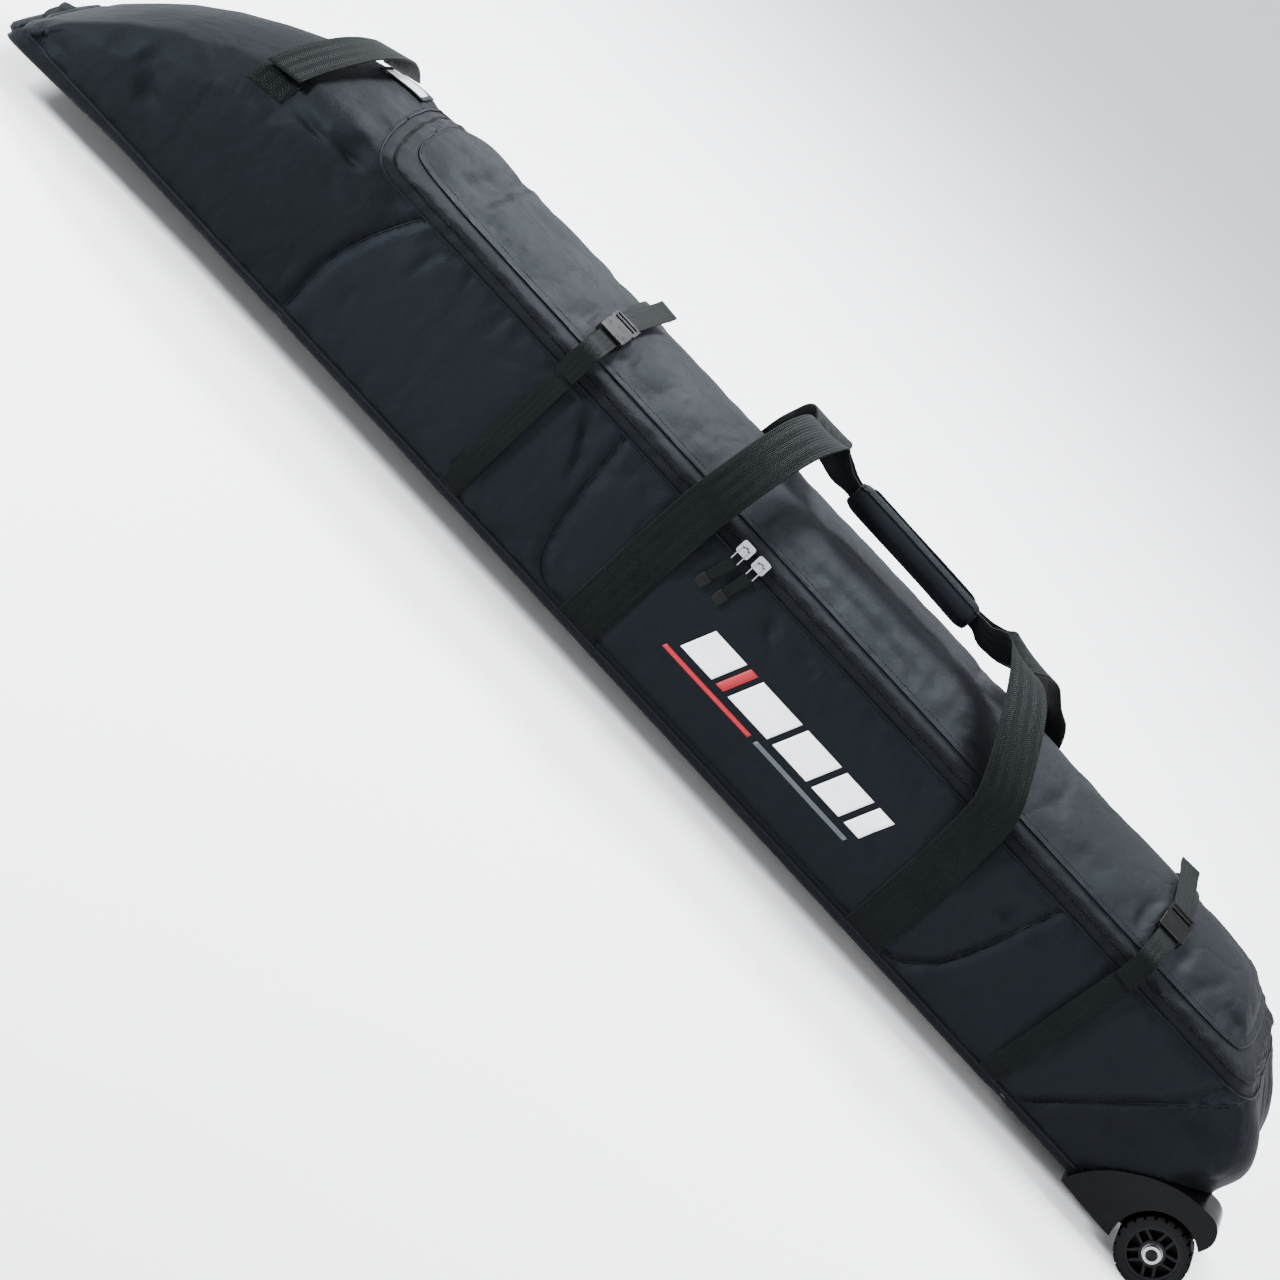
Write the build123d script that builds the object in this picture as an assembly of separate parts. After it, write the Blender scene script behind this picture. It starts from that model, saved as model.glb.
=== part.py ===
"""Wheeled ski bag, 1.75 m long: padded shell with a hinged zip lid, compression straps, webbing carry handles,
a nose grab handle and two tail wheels in moulded housings.

Frame: X runs along the bag from the nose (-X) to the wheels (+X), -Y is the front side, +Z is up.
The origin is at mid-width on the underside of the bottom panel.  Units are millimetres.
"""
from build123d import *
import os
from math import asin, cos, degrees, radians, sin, sqrt

# ---------------------------------------------------------------- driving dimensions
# shell: (x, height of the side edge, height of the crown) at each station of the loft
STATIONS = [
    (-873, 4, 5), (-849, 36, 41), (-820, 64, 74), (-792, 89, 102), (-748, 118, 137),
    (-702, 142, 165), (-640, 170, 199), (-584, 191, 218), (-518, 206, 232), (-455, 214, 240),
    (-400, 216, 242), (0, 216, 246), (300, 216, 250), (640, 216, 252), (720, 216, 247), (765, 216, 236),
    (800, 212, 216), (870, 212, 216),
]
HALF_WIDTH = 155
NOSE_X = -873
TAIL_X = 854
TAIL_FOOT_X = 838
NOSE_CORNER = 12
TAIL_CORNER = 30
WALL = 8                    # padded shell: outer fabric, foam and lining
GAP = 0.3                   # clear space between neighbouring shell pieces

NOSE_SEAM_X = -447
TAIL_SEAM_X = 700
PAN_HEIGHT = 14             # how far the bottom panel wraps up the sides
BOARD_THICK = 3
POCKET_X = (-128, 500)      # centre reinforcement panel
POCKET_Z = (20, 186)
POCKET_THICK = 1.1
INNER_TIE_X = (-300, 300)
HINGE_TAPE_X = (-430, 690)
HINGE_TAPE_Z = (192, 206.5)

# zip: two tape edges and the line where the teeth meet
ZIP_LOW = 189
ZIP_MID = 202.5
ZIP_TOP = 216
ZIP_NOSE_X = -518           # where the zip turns up over the nose end of the lid
ZIP_NOSE_RADIUS = 38
ZIP_BACK_Y = 138            # the zip stops here, the rest of the back is the lid's hinge
TAPE_INSET = 4
TAPE_THICK = 1
COIL_THICK = 1.9
COIL_WIDTH = 3.2
COIL_SPLIT = 1.6            # the slider's pillar runs in this gap
SLIDER_X = (32, 54)
SLIDER_LENGTH = 16
PULL_PIN_Y = -156.1
PULL_RADIUS = 0.8
PIN_CLEARANCE = 0.06

# webbing
WEB_THICK = 1.6
COMPRESSION_WIDTH = 25
CARRY_WIDTH = 50
HANDLE_WIDTH = 46
ON_SHELL = 0.3              # clear space under sewn webbing
STRAP_FOOT_Z = 17.5
STRAP_STAND_OFF = 4.5       # free webbing stands this far off the side, so a slider passes under it
CARRY_SEWN_TOP = 122
CARRY_LEGS_X = (-29, 398)
COMPRESSION_X = {"nose": (-220, -219), "tail": (586, 604)}      # (at the bottom seam, at the buckle)

# buckle
BUCKLE_Y = -82
BUCKLE_WIDTH = 33
SOCKET_LENGTH = 31
SOCKET_THICK = 9
BUCKLE_STAND_OFF = 1.2
LOOSE_END_LENGTH = 112
LOOSE_END_DRIFT = {"nose": 14, "tail": -18}     # how far each loose end lies off its strap's line

# grip
GRIP_X = (65, 241)
GRIP_Z = 287
GRIP_HALF_Y = 17
GRIP_HALF_Z = 15
GRIP_WALL = 3.5
FLAP_THICK = 2

# wheels
WHEEL_X = 833
WHEEL_Z = 14
WHEEL_Y = 140
WHEEL_RADIUS = 40
WHEEL_WIDTH = 36
RIM_RADIUS = 29
AXLE_RADIUS = 4
BEARING_RADIUS = 11
BEARING_WIDTH = 7
ARCH_RADIUS = 47
HOUSING_WALL = 3
HOUSING_Y = (103, 159)
NUT_THICK = 6.5
HOUSING_SCREWS = ((748, 14), (782, 56))      # (x, z)
TREAD_BLOCKS = 22

PARTS = {}


# ---------------------------------------------------------------- helpers
def block(x, y, z):
    """Box from three (low, high) pairs."""
    centre = ((x[0] + x[1]) / 2, (y[0] + y[1]) / 2, (z[0] + z[1]) / 2)
    return Pos(*centre) * Box(x[1] - x[0], y[1] - y[0], z[1] - z[0])


def rod(radius, start, end):
    """Round bar between two points."""
    start, end = Vector(*start), Vector(*end)
    return Solid.make_cylinder(radius, (end - start).length, Plane(origin=start, z_dir=(end - start).normalized()))


def side_prism(outline, y0, y1):
    """Extrude a face drawn in X and Z from y0 to y1."""
    plane = Plane(origin=(0, y0, 0), x_dir=(1, 0, 0), z_dir=(0, -1, 0))
    return extrude(plane * outline, amount=-(y1 - y0))


def mirrored(shape):
    return mirror(shape, about=Plane.XZ)


def edge_and_crown(x):
    """Heights of the shell's side edge and crown at x, straight between stations."""
    for (x0, edge0, crown0), (x1, edge1, crown1) in zip(STATIONS, STATIONS[1:]):
        if x <= x1:
            t = (x - x0) / (x1 - x0)
            return edge0 + t * (edge1 - edge0), crown0 + t * (crown1 - crown0)
    return STATIONS[-1][1:]


def roof(x, y):
    """Height and slope (degrees) of the domed top at x, y."""
    edge, crown = edge_and_crown(x)
    rise = crown - edge
    radius = (HALF_WIDTH ** 2 + rise ** 2) / (2 * rise)
    return crown - radius + sqrt(radius ** 2 - y ** 2), degrees(asin(-y / radius))


def ribbon(path, width, thickness=WEB_THICK, across=(1, 0, 0)):
    """Flat webbing through centre points; a point may carry its own (across, width, thickness)."""
    points = [Vector(*p[:3]) for p in path]
    wires = []
    for i, p in enumerate(path):
        ahead = points[min(i + 1, len(points) - 1)]
        behind = points[max(i - 1, 0)]
        tangent = (ahead - behind).normalized()
        side, wide, thick = p[3] if len(p) > 3 else (across, width, thickness)
        normal = tangent.cross(Vector(*side)).normalized()
        side = normal.cross(tangent).normalized()
        a, n = side * (wide / 2), normal * (thick / 2)
        c = points[i]
        wires.append(Wire.make_polygon([c - a - n, c + a - n, c + a + n, c - a + n], close=True))
    return Solid.make_loft(wires, ruled=True)


# ---------------------------------------------------------------- shell envelope
def envelope(inset):
    """The bag's outer form, drawn in by inset on every side."""
    half = HALF_WIDTH - inset
    sections = []
    for x, edge, crown in STATIONS:
        if edge < 2.5 * inset + 4:
            continue
        edge, crown = edge - inset, crown - inset
        corners = [(x, half, edge), (x, 0, crown), (x, -half, edge)]
        sections.append(Wire([
            Edge.make_line((x, -half, inset), (x, half, inset)),
            Edge.make_line((x, half, inset), (x, half, edge)),
            Edge.make_three_point_arc(*corners),
            Edge.make_line((x, -half, edge), (x, -half, inset)),
        ]))
    body = Solid.make_loft(sections, ruled=True)

    # the tail end seen from the side
    tail = make_face(
        Polyline((-1000, -50), (TAIL_FOOT_X - inset, -50), (TAIL_FOOT_X - inset, 0), (TAIL_FOOT_X + 5 - inset, 90))
        + ThreePointArc((TAIL_FOOT_X + 5 - inset, 90), (TAIL_X - inset, 140), (832 - inset, 187 - inset))
        + Polyline((832 - inset, 187 - inset), (801 - inset, 213 - inset), (801 - inset, 400), (-1000, 400),
                   (-1000, -50))
    )
    # the plan seen from above
    plan = Pos((NOSE_X + TAIL_X) / 2, 0) * Rectangle(TAIL_X - NOSE_X - 2 * inset, 2 * half)
    by_x = plan.vertices().sort_by(Axis.X)
    plan = fillet(by_x[-2:], TAIL_CORNER - inset)
    plan = fillet(plan.vertices().sort_by(Axis.X)[:2], NOSE_CORNER - inset)
    return body & side_prism(tail, -200, 200) & extrude(Pos(0, 0, -50) * plan, amount=500)


def lid_zone(z, grow=0):
    """Everything above height z and behind the nose turn of the zip, as a prism across the bag."""
    shift = z - ZIP_MID
    x0 = ZIP_NOSE_X + shift - grow
    face = Pos((x0 + 1000) / 2, (z - grow + 500) / 2) * Rectangle(1000 - x0, 500 - z + grow)
    corner = face.vertices().sort_by(Axis.X)[:2].sort_by(Axis.Y)[0]
    return side_prism(fillet(corner, ZIP_NOSE_RADIUS - shift), -200, 200)


def housing_outline(grow=0):
    """Wheel housing from the side: curved fender top, open over the wheel at the bottom tail corner."""
    foot, shoulder, crest, tip = (716 - grow, 0), (757 - grow, 57 + grow), (841, 88 + grow), (864 + grow, 62)
    return make_face(
        ThreePointArc(foot, (731 - grow, 31), shoulder)
        + ThreePointArc(shoulder, (796, 80 + grow), crest)
        + ThreePointArc(crest, (859 + grow, 80 + grow), tip)
        + Polyline(tip, (846 + grow, 0), (783, -6 - grow), (716 - grow, -3), foot)
    )


def shell():
    skin = envelope(0) - envelope(WALL)
    well = side_prism(housing_outline(GAP), HOUSING_Y[0] - GAP, 200)
    skin = skin - well - mirrored(well)
    front = block((-1000, 1000), (-200, ZIP_BACK_Y), (-50, 500))
    back = block((-1000, 1000), (ZIP_BACK_Y, 200), (-50, 500))
    below_lid = (skin & front) - lid_zone(ZIP_LOW) + ((skin & back) - lid_zone(ZIP_MID, GAP))
    pan = block((-1000, 1000), (-200, 200), (-50, PAN_HEIGHT))
    upper = below_lid & block((-1000, 1000), (-200, 200), (PAN_HEIGHT + GAP, 500))

    PARTS["bottom_panel"] = below_lid & pan
    PARTS["nose_shell"] = upper & block((-1000, NOSE_SEAM_X - GAP), (-200, 200), (0, 500))
    PARTS["tail_shell"] = upper & block((TAIL_SEAM_X + GAP, 1000), (-200, 200), (0, 500))
    middle = upper & block((NOSE_SEAM_X, TAIL_SEAM_X), (-200, 200), (0, 500))
    PARTS["front_panel"] = middle & block((-1000, 1000), (-200, 0), (0, 500))
    PARTS["back_panel"] = middle & block((-1000, 1000), (0, 200), (0, 500))
    for name, y in (("front", (-200, -HALF_WIDTH + POCKET_THICK)), ("back", (HALF_WIDTH - POCKET_THICK, 200))):
        zone = block(POCKET_X, y, POCKET_Z)
        panel = PARTS[name + "_panel"]
        PARTS[name + "_reinforcement"] = panel & zone
        PARTS[name + "_panel"] = panel - block(
            (POCKET_X[0] - GAP, POCKET_X[1] + GAP),
            (y[0], y[1] + GAP) if name == "front" else (y[0] - GAP, y[1]),
            (POCKET_Z[0] - GAP, POCKET_Z[1] + GAP),
        )
    PARTS["lid_panel"] = (skin & front & lid_zone(ZIP_TOP)) + (skin & back & lid_zone(ZIP_MID, -GAP))

    inside = HALF_WIDTH - WALL - 2 * GAP
    board_top = WALL + GAP + BOARD_THICK
    PARTS["base_board"] = block((-835, TAIL_SEAM_X), (-inside, inside), (board_top - BOARD_THICK, board_top))
    tie_z = (board_top + GAP, board_top + GAP + WEB_THICK)
    half = COMPRESSION_WIDTH / 2
    ties = [block((x - half, x + half), (1 - inside, inside - 1), tie_z) for x in INNER_TIE_X]
    PARTS["inner_tie_straps"] = Compound(children=ties)
    hinge_y = HALF_WIDTH - WALL - GAP
    PARTS["lid_hinge_tape"] = block(HINGE_TAPE_X, (hinge_y - TAPE_THICK, hinge_y), HINGE_TAPE_Z)
    pipe_y = HALF_WIDTH + ON_SHELL + 1.3
    pipes = [rod(1.3, (-800, s * pipe_y, PAN_HEIGHT), (712, s * pipe_y, PAN_HEIGHT)) for s in (-1, 1)]
    PARTS["seam_piping"] = Compound(children=pipes)


def zip_band():
    tape = envelope(TAPE_INSET) - envelope(TAPE_INSET + TAPE_THICK)
    tape = tape & block((-1000, 1000), (-200, ZIP_BACK_Y - GAP), (0, 500))
    half_gap = COIL_SPLIT / 2
    PARTS["zip_tape_lower"] = tape & (lid_zone(ZIP_LOW, -GAP) - lid_zone(ZIP_MID, half_gap))
    PARTS["zip_tape_upper"] = (tape & lid_zone(ZIP_MID, -half_gap)) - lid_zone(ZIP_TOP, GAP)
    y = -HALF_WIDTH + TAPE_INSET - 0.1
    for name, low in (("lower", ZIP_MID - half_gap - COIL_WIDTH), ("upper", ZIP_MID + half_gap)):
        coil = block((ZIP_NOSE_X + 50, 780), (y - COIL_THICK, y), (low, low + COIL_WIDTH))
        PARTS["zip_coil_" + name] = fillet(coil.edges().filter_by(Axis.X).group_by(Axis.Y)[0], 0.8)


# ---------------------------------------------------------------- zip sliders and pulls
def slider(x):
    """Two plates over the tape, joined by a pillar, with a bored bridge for the pull's pin."""
    tape_front = -HALF_WIDTH + TAPE_INSET
    coil_front = tape_front - 0.1 - COIL_THICK
    tape_back = tape_front + TAPE_THICK
    half = SLIDER_LENGTH / 2
    low, high = ZIP_MID - 8, ZIP_MID + 8
    plate = block((x - half, x + half), (coil_front - 1.9, coil_front - 0.4), (low, high))
    plate = fillet(plate.edges().filter_by(Axis.Y), 3)
    rear = block((x - half, x + half), (tape_back + 0.6, tape_back + 1.8), (low, high))
    rear = fillet(rear.edges().filter_by(Axis.Y), 3)
    pillar = block((x - 2.5, x + 2.5), (coil_front - 1, tape_back + 1), (ZIP_MID - 0.5, ZIP_MID + 0.5))
    lip = block((x - half + 3, x + half - 3), (coil_front - 1, tape_front - 0.4), (low, low + 1))
    bridge = block((x - 2, x + 2), (PULL_PIN_Y - 1.7, coil_front - 1), (ZIP_MID - 2.2, ZIP_MID + 2.2))
    bridge = fillet(bridge.edges().filter_by(Axis.X).group_by(Axis.Y)[0], 1)
    bore = rod(PULL_RADIUS + PIN_CLEARANCE, (x - 5, PULL_PIN_Y, ZIP_MID), (x + 5, PULL_PIN_Y, ZIP_MID))
    return plate + rear + pillar + lip + bridge - bore


def pull(x):
    """Wire ring through the slider's bridge, carrying a tapered webbing tag with a moulded end."""
    reach = 4.6
    foot = ZIP_MID - 19
    ring = rod(PULL_RADIUS, (x - reach, PULL_PIN_Y, ZIP_MID), (x + reach, PULL_PIN_Y, ZIP_MID))
    for side in (-reach, reach):
        ring += rod(PULL_RADIUS, (x + side, PULL_PIN_Y, ZIP_MID + PULL_RADIUS), (x + side, PULL_PIN_Y, foot))
    ring += rod(PULL_RADIUS, (x - reach, PULL_PIN_Y, foot), (x + reach, PULL_PIN_Y, foot))
    tag = ribbon([(x, PULL_PIN_Y - 0.2, foot + 3, ((1, 0, 0), 15, 2.2)),
                  (x, PULL_PIN_Y - 0.2, foot - 42, ((1, 0, 0), 12, 2.2))], 15)
    return ring, tag


def zip_sliders():
    for name, x in zip(("nose", "tail"), SLIDER_X):
        PARTS["slider_" + name] = slider(x)
        ring, tag = pull(x)
        PARTS["pull_ring_" + name] = ring
        PARTS["pull_tag_" + name] = tag - ring


# ---------------------------------------------------------------- compression straps
def buckle_frame(x):
    height, slope = roof(x, BUCKLE_Y)
    normal = (0, -sin(radians(slope)), cos(radians(slope)))
    return Plane(origin=(x, BUCKLE_Y, height), x_dir=(1, 0, 0), z_dir=normal)


def socket(frame):
    """Female half: open mouth towards the lid, side windows for the prongs, pocket for the webbing."""
    low, high = BUCKLE_STAND_OFF, BUCKLE_STAND_OFF + SOCKET_THICK
    half = BUCKLE_WIDTH / 2
    foot = 1 - SOCKET_LENGTH
    body = block((-half, half), (foot, 1), (low, high))
    body = fillet(body.edges().filter_by(Axis.Z), 3)
    body = fillet(body.faces().sort_by(Axis.Z)[-1].edges(), 1.2)
    mid = (low + high) / 2
    mouth = block((-13.7, 13.7), (-20, 2), (mid - 2.2, mid + 2.2))
    windows = block((-half - 1, half + 1), (-16, -4), (mid - 2.2, mid + 2.2))
    pocket = block((-13.2, 13.2), (foot - 1, -23), (low + 0.6, low + 3))
    return frame * (body - mouth - windows - pocket)


def plug(frame):
    """Male half: ladder body with two bars, centre guide and two barbed prongs."""
    low, high = BUCKLE_STAND_OFF + 0.6, BUCKLE_STAND_OFF + SOCKET_THICK - 0.8
    half = BUCKLE_WIDTH / 2
    mid = BUCKLE_STAND_OFF + SOCKET_THICK / 2
    body = block((-half, half), (2, 24), (low, high))
    body = fillet(body.edges().filter_by(Axis.Z), 2.5)
    for y in (8, 16):
        body -= block((-13.2, 13.2), (y, y + 4), (low - 1, high + 1))
    body += block((-2.5, 2.5), (-14, 3), (mid - 1.6, mid + 1.6))
    for side in (-1, 1):
        arm = sorted((side * 9.6, side * 13))
        barb = sorted((side * 12, side * 15.4))
        body += block(arm, (-18, 3), (mid - 1.6, mid + 1.6))
        body += block(barb, (-14, -6), (mid - 1.6, mid + 1.6))
    return frame * body


def compression_strap(name, x_foot, x_top):
    web_y = HALF_WIDTH + ON_SHELL + WEB_THICK / 2
    free_y = web_y - ON_SHELL + STRAP_STAND_OFF
    lean = (x_top - x_foot) / (ZIP_MID - STRAP_FOOT_Z)

    def across_x(z):
        return x_foot + lean * (min(z, ZIP_MID) - STRAP_FOOT_Z)

    side_path = [(web_y, STRAP_FOOT_Z), (web_y + 0.2, 30), (web_y + 2.4, 55), (free_y, 85), (free_y, 184)]
    PARTS["strap_lower_" + name] = ribbon([(across_x(z), -y, z) for y, z in side_path], COMPRESSION_WIDTH)

    frame = buckle_frame(x_top)
    PARTS["socket_" + name] = socket(frame)
    PARTS["plug_" + name] = plug(frame)
    lift = BUCKLE_STAND_OFF + 1.8
    entry = frame.from_local_coords(Vector(0, -24.5, lift))
    mouth = frame.from_local_coords(Vector(0, -34, lift))
    end_path = [(across_x(188.5), -free_y, 188.5), (x_top, -free_y, 207), (x_top, -free_y + 0.8, 215),
                (x_top, -free_y + 4.5, 221.5), (x_top, -free_y + 12, 225.5)]
    end_path += [tuple(mouth), tuple(entry)]
    PARTS["strap_end_" + name] = ribbon(end_path, COMPRESSION_WIDTH)

    # the upper half of the strap lies over the lid from the back seam
    lid_path = [(x_top, y, roof(x_top, y)[0] + ON_SHELL + WEB_THICK) for y in (-58, -20, 20, 60, 100, 132)]
    lid_path += [(x_top, 150, ZIP_TOP + 5.4), (x_top, 155.6, ZIP_TOP + 3), (x_top, web_y + 0.6, ZIP_TOP - 2),
                 (x_top, web_y + 0.3, ZIP_MID + 3)]
    PARTS["strap_lid_" + name] = ribbon(lid_path, COMPRESSION_WIDTH)
    PARTS["strap_back_" + name] = ribbon(
        [(x_foot, web_y, STRAP_FOOT_Z), (x_top, web_y, ZIP_LOW + 3)], COMPRESSION_WIDTH)

    # loose end, lying back over the lid and lifting off it
    drift = LOOSE_END_DRIFT[name]
    start = frame.from_local_coords(Vector(0, 26.6, 5.2))
    tail_path = [tuple(start)]
    for t, lift in ((0.3, 5.5), (0.6, 8), (0.8, 12), (1.0, 18)):
        y = start.Y + t * LOOSE_END_LENGTH
        x = x_top + drift * t
        tail_path.append((x, y, roof(x, y)[0] + lift))
    PARTS["strap_tail_" + name] = ribbon(tail_path, COMPRESSION_WIDTH)


# ---------------------------------------------------------------- carry handles
def carry_handles():
    web_y = HALF_WIDTH + ON_SHELL + WEB_THICK / 2
    free_y = web_y - ON_SHELL + STRAP_STAND_OFF
    half = CARRY_WIDTH / 2
    left, right = CARRY_LEGS_X
    legs = [block((x - half, x + half), (-web_y - WEB_THICK / 2, -web_y + WEB_THICK / 2),
                  (STRAP_FOOT_Z, CARRY_SEWN_TOP)) for x in CARRY_LEGS_X]
    PARTS["carry_legs_front"] = Compound(children=legs)
    PARTS["carry_legs_back"] = Compound(children=[mirrored(leg) for leg in legs])

    flat = ((1, 0, 0), CARRY_WIDTH, WEB_THICK)
    inner_y = -6
    start, end = GRIP_X
    bundle = ((0, 0, 1), 16, 3.2)
    bundle_back = ((0, 0, -1), 16, 3.2)
    left_half = [
        (left, -web_y - 0.3, 124, flat), (left + 1, -free_y, 138, flat), (left + 3, -free_y, 190, flat),
        (left + 4, -free_y + 2, 216, flat), (left + 10, -140, 250, flat), (left + 19, -104, 297, flat),
        (left + 30, -62, 329, ((0.96, 0.2, 0), 46, WEB_THICK)),
        (left + 46, -34, 335, ((0.8, 0.45, -0.1), 38, 2)),
        (left + 64, -19, 322, ((0.5, 0.6, 0.3), 30, 2.6)), (start - 20, inner_y - 4, 301, ((0.3, 0.3, 0.9), 23, 3)),
        (start - 8, inner_y, GRIP_Z + 1, bundle), (start + 6, inner_y, GRIP_Z, bundle),
    ]
    right_half = [
        (right, -web_y - 0.3, 124, flat), (right - 1, -free_y, 138, flat), (right - 4, -free_y, 190, flat),
        (right - 7, -free_y + 2, 216, flat), (right - 22, -140, 250, flat), (right - 48, -104, 292, flat),
        (right - 82, -62, 323, ((0.96, -0.2, 0), 46, WEB_THICK)),
        (right - 110, -34, 330, ((0.8, -0.45, 0.1), 38, 2)),
        (right - 130, -19, 320, ((0.5, -0.6, -0.3), 30, 2.6)), (end + 20, inner_y - 4, 301, ((0.3, -0.3, -0.9), 23, 3)),
        (end + 8, inner_y, GRIP_Z + 1, bundle_back), (end - 6, inner_y, GRIP_Z, bundle_back),
    ]
    bar = block((start + 5.5, end - 5.5), (inner_y - 1.6, inner_y + 1.6), (GRIP_Z - 8, GRIP_Z + 8))
    loop = ribbon(left_half, CARRY_WIDTH) + ribbon(right_half, CARRY_WIDTH) + bar
    PARTS["carry_loop_front"] = loop
    PARTS["carry_loop_back"] = mirrored(loop)

    # padded sleeve: a C open to the back, closed by a flap
    plane = Plane(origin=((start + end) / 2, 0, GRIP_Z), x_dir=(0, 1, 0), z_dir=(1, 0, 0))
    length = end - start

    def tube(outer, wall, long):
        ring = Ellipse(GRIP_HALF_Y + outer, GRIP_HALF_Z + outer)
        ring -= Ellipse(GRIP_HALF_Y + outer - wall, GRIP_HALF_Z + outer - wall)
        return extrude(plane * ring, amount=long / 2, both=True)

    opening = block((start - 1, end + 1), (0, 40), (GRIP_Z - 11.2, GRIP_Z + 11.2))
    PARTS["grip_pad"] = tube(0, GRIP_WALL, length) - opening
    sleeve = tube(FLAP_THICK + 0.4, FLAP_THICK, length - 16)
    PARTS["grip_flap"] = sleeve & block((0, 400), (1, 60), (GRIP_Z - 14, GRIP_Z + 40))


def nose_handle():
    """Grab handle across the nose, sewn at both ends; it leans towards the lid on the back side."""
    def over_nose(x, y, lift, thick):
        slope = (roof(x + HANDLE_WIDTH / 2, y)[0] - roof(x - HANDLE_WIDTH / 2, y)[0]) / HANDLE_WIDTH
        return (x, y, roof(x, y)[0] + lift, ((1, 0, slope), HANDLE_WIDTH, thick))

    rest = [(-638, -132, 5), (-630, -100, 12), (-612, -40, 22), (-603, 10, 24), (-596, 70, 19), (-591, 110, 10),
            (-589, 132, 5)]
    PARTS["nose_handle"] = ribbon([over_nose(*point, 2.4) for point in rest], HANDLE_WIDTH)
    tabs = [ribbon([over_nose(x, side * y, 2.6, WEB_THICK) for y in (152, 137)], HANDLE_WIDTH)
            for x, side in ((-638, -1), (-589, 1))]
    PARTS["nose_handle_tabs"] = Compound(children=tabs)


def card_holder():
    """Clear sleeve over a blank card, on top of the nose near the end of the zip."""
    area = block((-592, -536), (22, 82), (150, 300))
    inner = block((-588, -540), (26, 78), (150, 300))
    PARTS["card_insert"] = (envelope(-1) - envelope(-ON_SHELL)) & inner
    PARTS["card_sleeve"] = (envelope(-1.9) - envelope(-1.2)) & area


# ---------------------------------------------------------------- wheels
def wheel_parts(side, y_sign):
    axle = (WHEEL_X, WHEEL_Z)
    inner, outer = WHEEL_Y - WHEEL_WIDTH / 2, WHEEL_Y + WHEEL_WIDTH / 2

    def disc(radius, y0, y1):
        return rod(radius, (axle[0], y0, axle[1]), (axle[0], y1, axle[1]))

    tyre = disc(WHEEL_RADIUS, inner, outer)
    tyre = fillet(tyre.edges().filter_by(GeomType.CIRCLE), 4)
    tyre -= disc(RIM_RADIUS, inner - 1, outer + 1)
    for i in range(TREAD_BLOCKS):
        turn = Pos(axle[0], 0, axle[1]) * Rot(0, 360 / TREAD_BLOCKS * i, 0)
        for y0, y1, shift in ((inner - 1, inner + 12, 0), (outer - 12, outer + 1, 180 / TREAD_BLOCKS)):
            groove = block((-1.7, 1.7), (y0, y1), (WHEEL_RADIUS - 3, WHEEL_RADIUS + 2))
            tyre -= turn * (Rot(0, shift, 0) * groove)

    rim = disc(RIM_RADIUS - 0.05, inner + 2, outer - 2) - disc(RIM_RADIUS - 3, inner, outer)
    barrel = disc(14, inner + 2, outer - 2)
    web = disc(RIM_RADIUS - 1, WHEEL_Y - 3, WHEEL_Y + 1)
    hub = rim + barrel + web
    for i in range(5):
        for shift in (-5.5, 5.5):
            spoke = block((shift - 1.5, shift + 1.5), (WHEEL_Y, outer - 4), (12, RIM_RADIUS - 2))
            hub += Pos(axle[0], 0, axle[1]) * Rot(0, 72 * i, 0) * spoke
    hub -= disc(BEARING_RADIUS, inner, outer)
    bearing = [disc(BEARING_RADIUS - 0.02, y, y + BEARING_WIDTH) - disc(AXLE_RADIUS + PIN_CLEARANCE, y - 1, y + 8)
               for y in (inner + 3, outer - 3 - BEARING_WIDTH)]

    outline = housing_outline()
    body = side_prism(outline, *HOUSING_Y)
    wheel_space = disc(ARCH_RADIUS, HOUSING_Y[0] + HOUSING_WALL, 200)
    body -= wheel_space
    cavity = side_prism(offset(outline, amount=-HOUSING_WALL), HOUSING_Y[0] - 1, HOUSING_Y[1] - HOUSING_WALL)
    cavity -= disc(ARCH_RADIUS + HOUSING_WALL, 0, 200)
    body -= cavity
    boss = disc(12, HOUSING_Y[0] + 1, inner - 1)
    nut_y = HOUSING_Y[0] + 1
    for x, z in HOUSING_SCREWS:
        body += rod(6, (x, 126, z), (x, HOUSING_Y[1] - 1, z)) - rod(2, (x, 120, z), (x, 150, z))
    body = body + boss - disc(AXLE_RADIUS + 0.1, 100, 200) - disc(8, 100, nut_y + NUT_THICK + GAP)

    bolt = disc(AXLE_RADIUS, nut_y, outer + 0.6) + disc(9.5, outer + 0.4, outer + 2.6)
    bolt -= disc(5, outer + 1.6, outer + 3)
    nut_face = Plane(origin=(axle[0], nut_y, axle[1]), z_dir=(0, 1, 0))
    nut = extrude(nut_face * RegularPolygon(7.5, 6), amount=NUT_THICK) - disc(AXLE_RADIUS + 0.05, 100, 120)
    screws = []
    for x, z in HOUSING_SCREWS:
        screws.append(rod(1.9, (x, 122, z), (x, 148, z)) + rod(4.2, (x, 122, z), (x, 125.6, z)))

    group = {
        "wheel_tyre": tyre, "wheel_hub": hub, "wheel_bearings": Compound(children=bearing),
        "wheel_housing": body, "axle_bolt": bolt, "axle_nut": nut,
    }
    for name, shape in group.items():
        PARTS[f"{name}_{side}"] = mirrored(shape) if y_sign < 0 else shape
    return [mirrored(s) if y_sign < 0 else s for s in screws]


def wheels():
    screws = wheel_parts("front", -1) + wheel_parts("back", 1)
    PARTS["housing_screws"] = Compound(children=screws)


# ---------------------------------------------------------------- assembly
shell()
zip_band()
zip_sliders()
for strap, (foot, top) in COMPRESSION_X.items():
    compression_strap(strap, foot, top)
carry_handles()
nose_handle()
card_holder()
wheels()

os.makedirs("parts", exist_ok=True)
for node, shape in PARTS.items():
    export_step(shape, f"parts/{node}.step")
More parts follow.
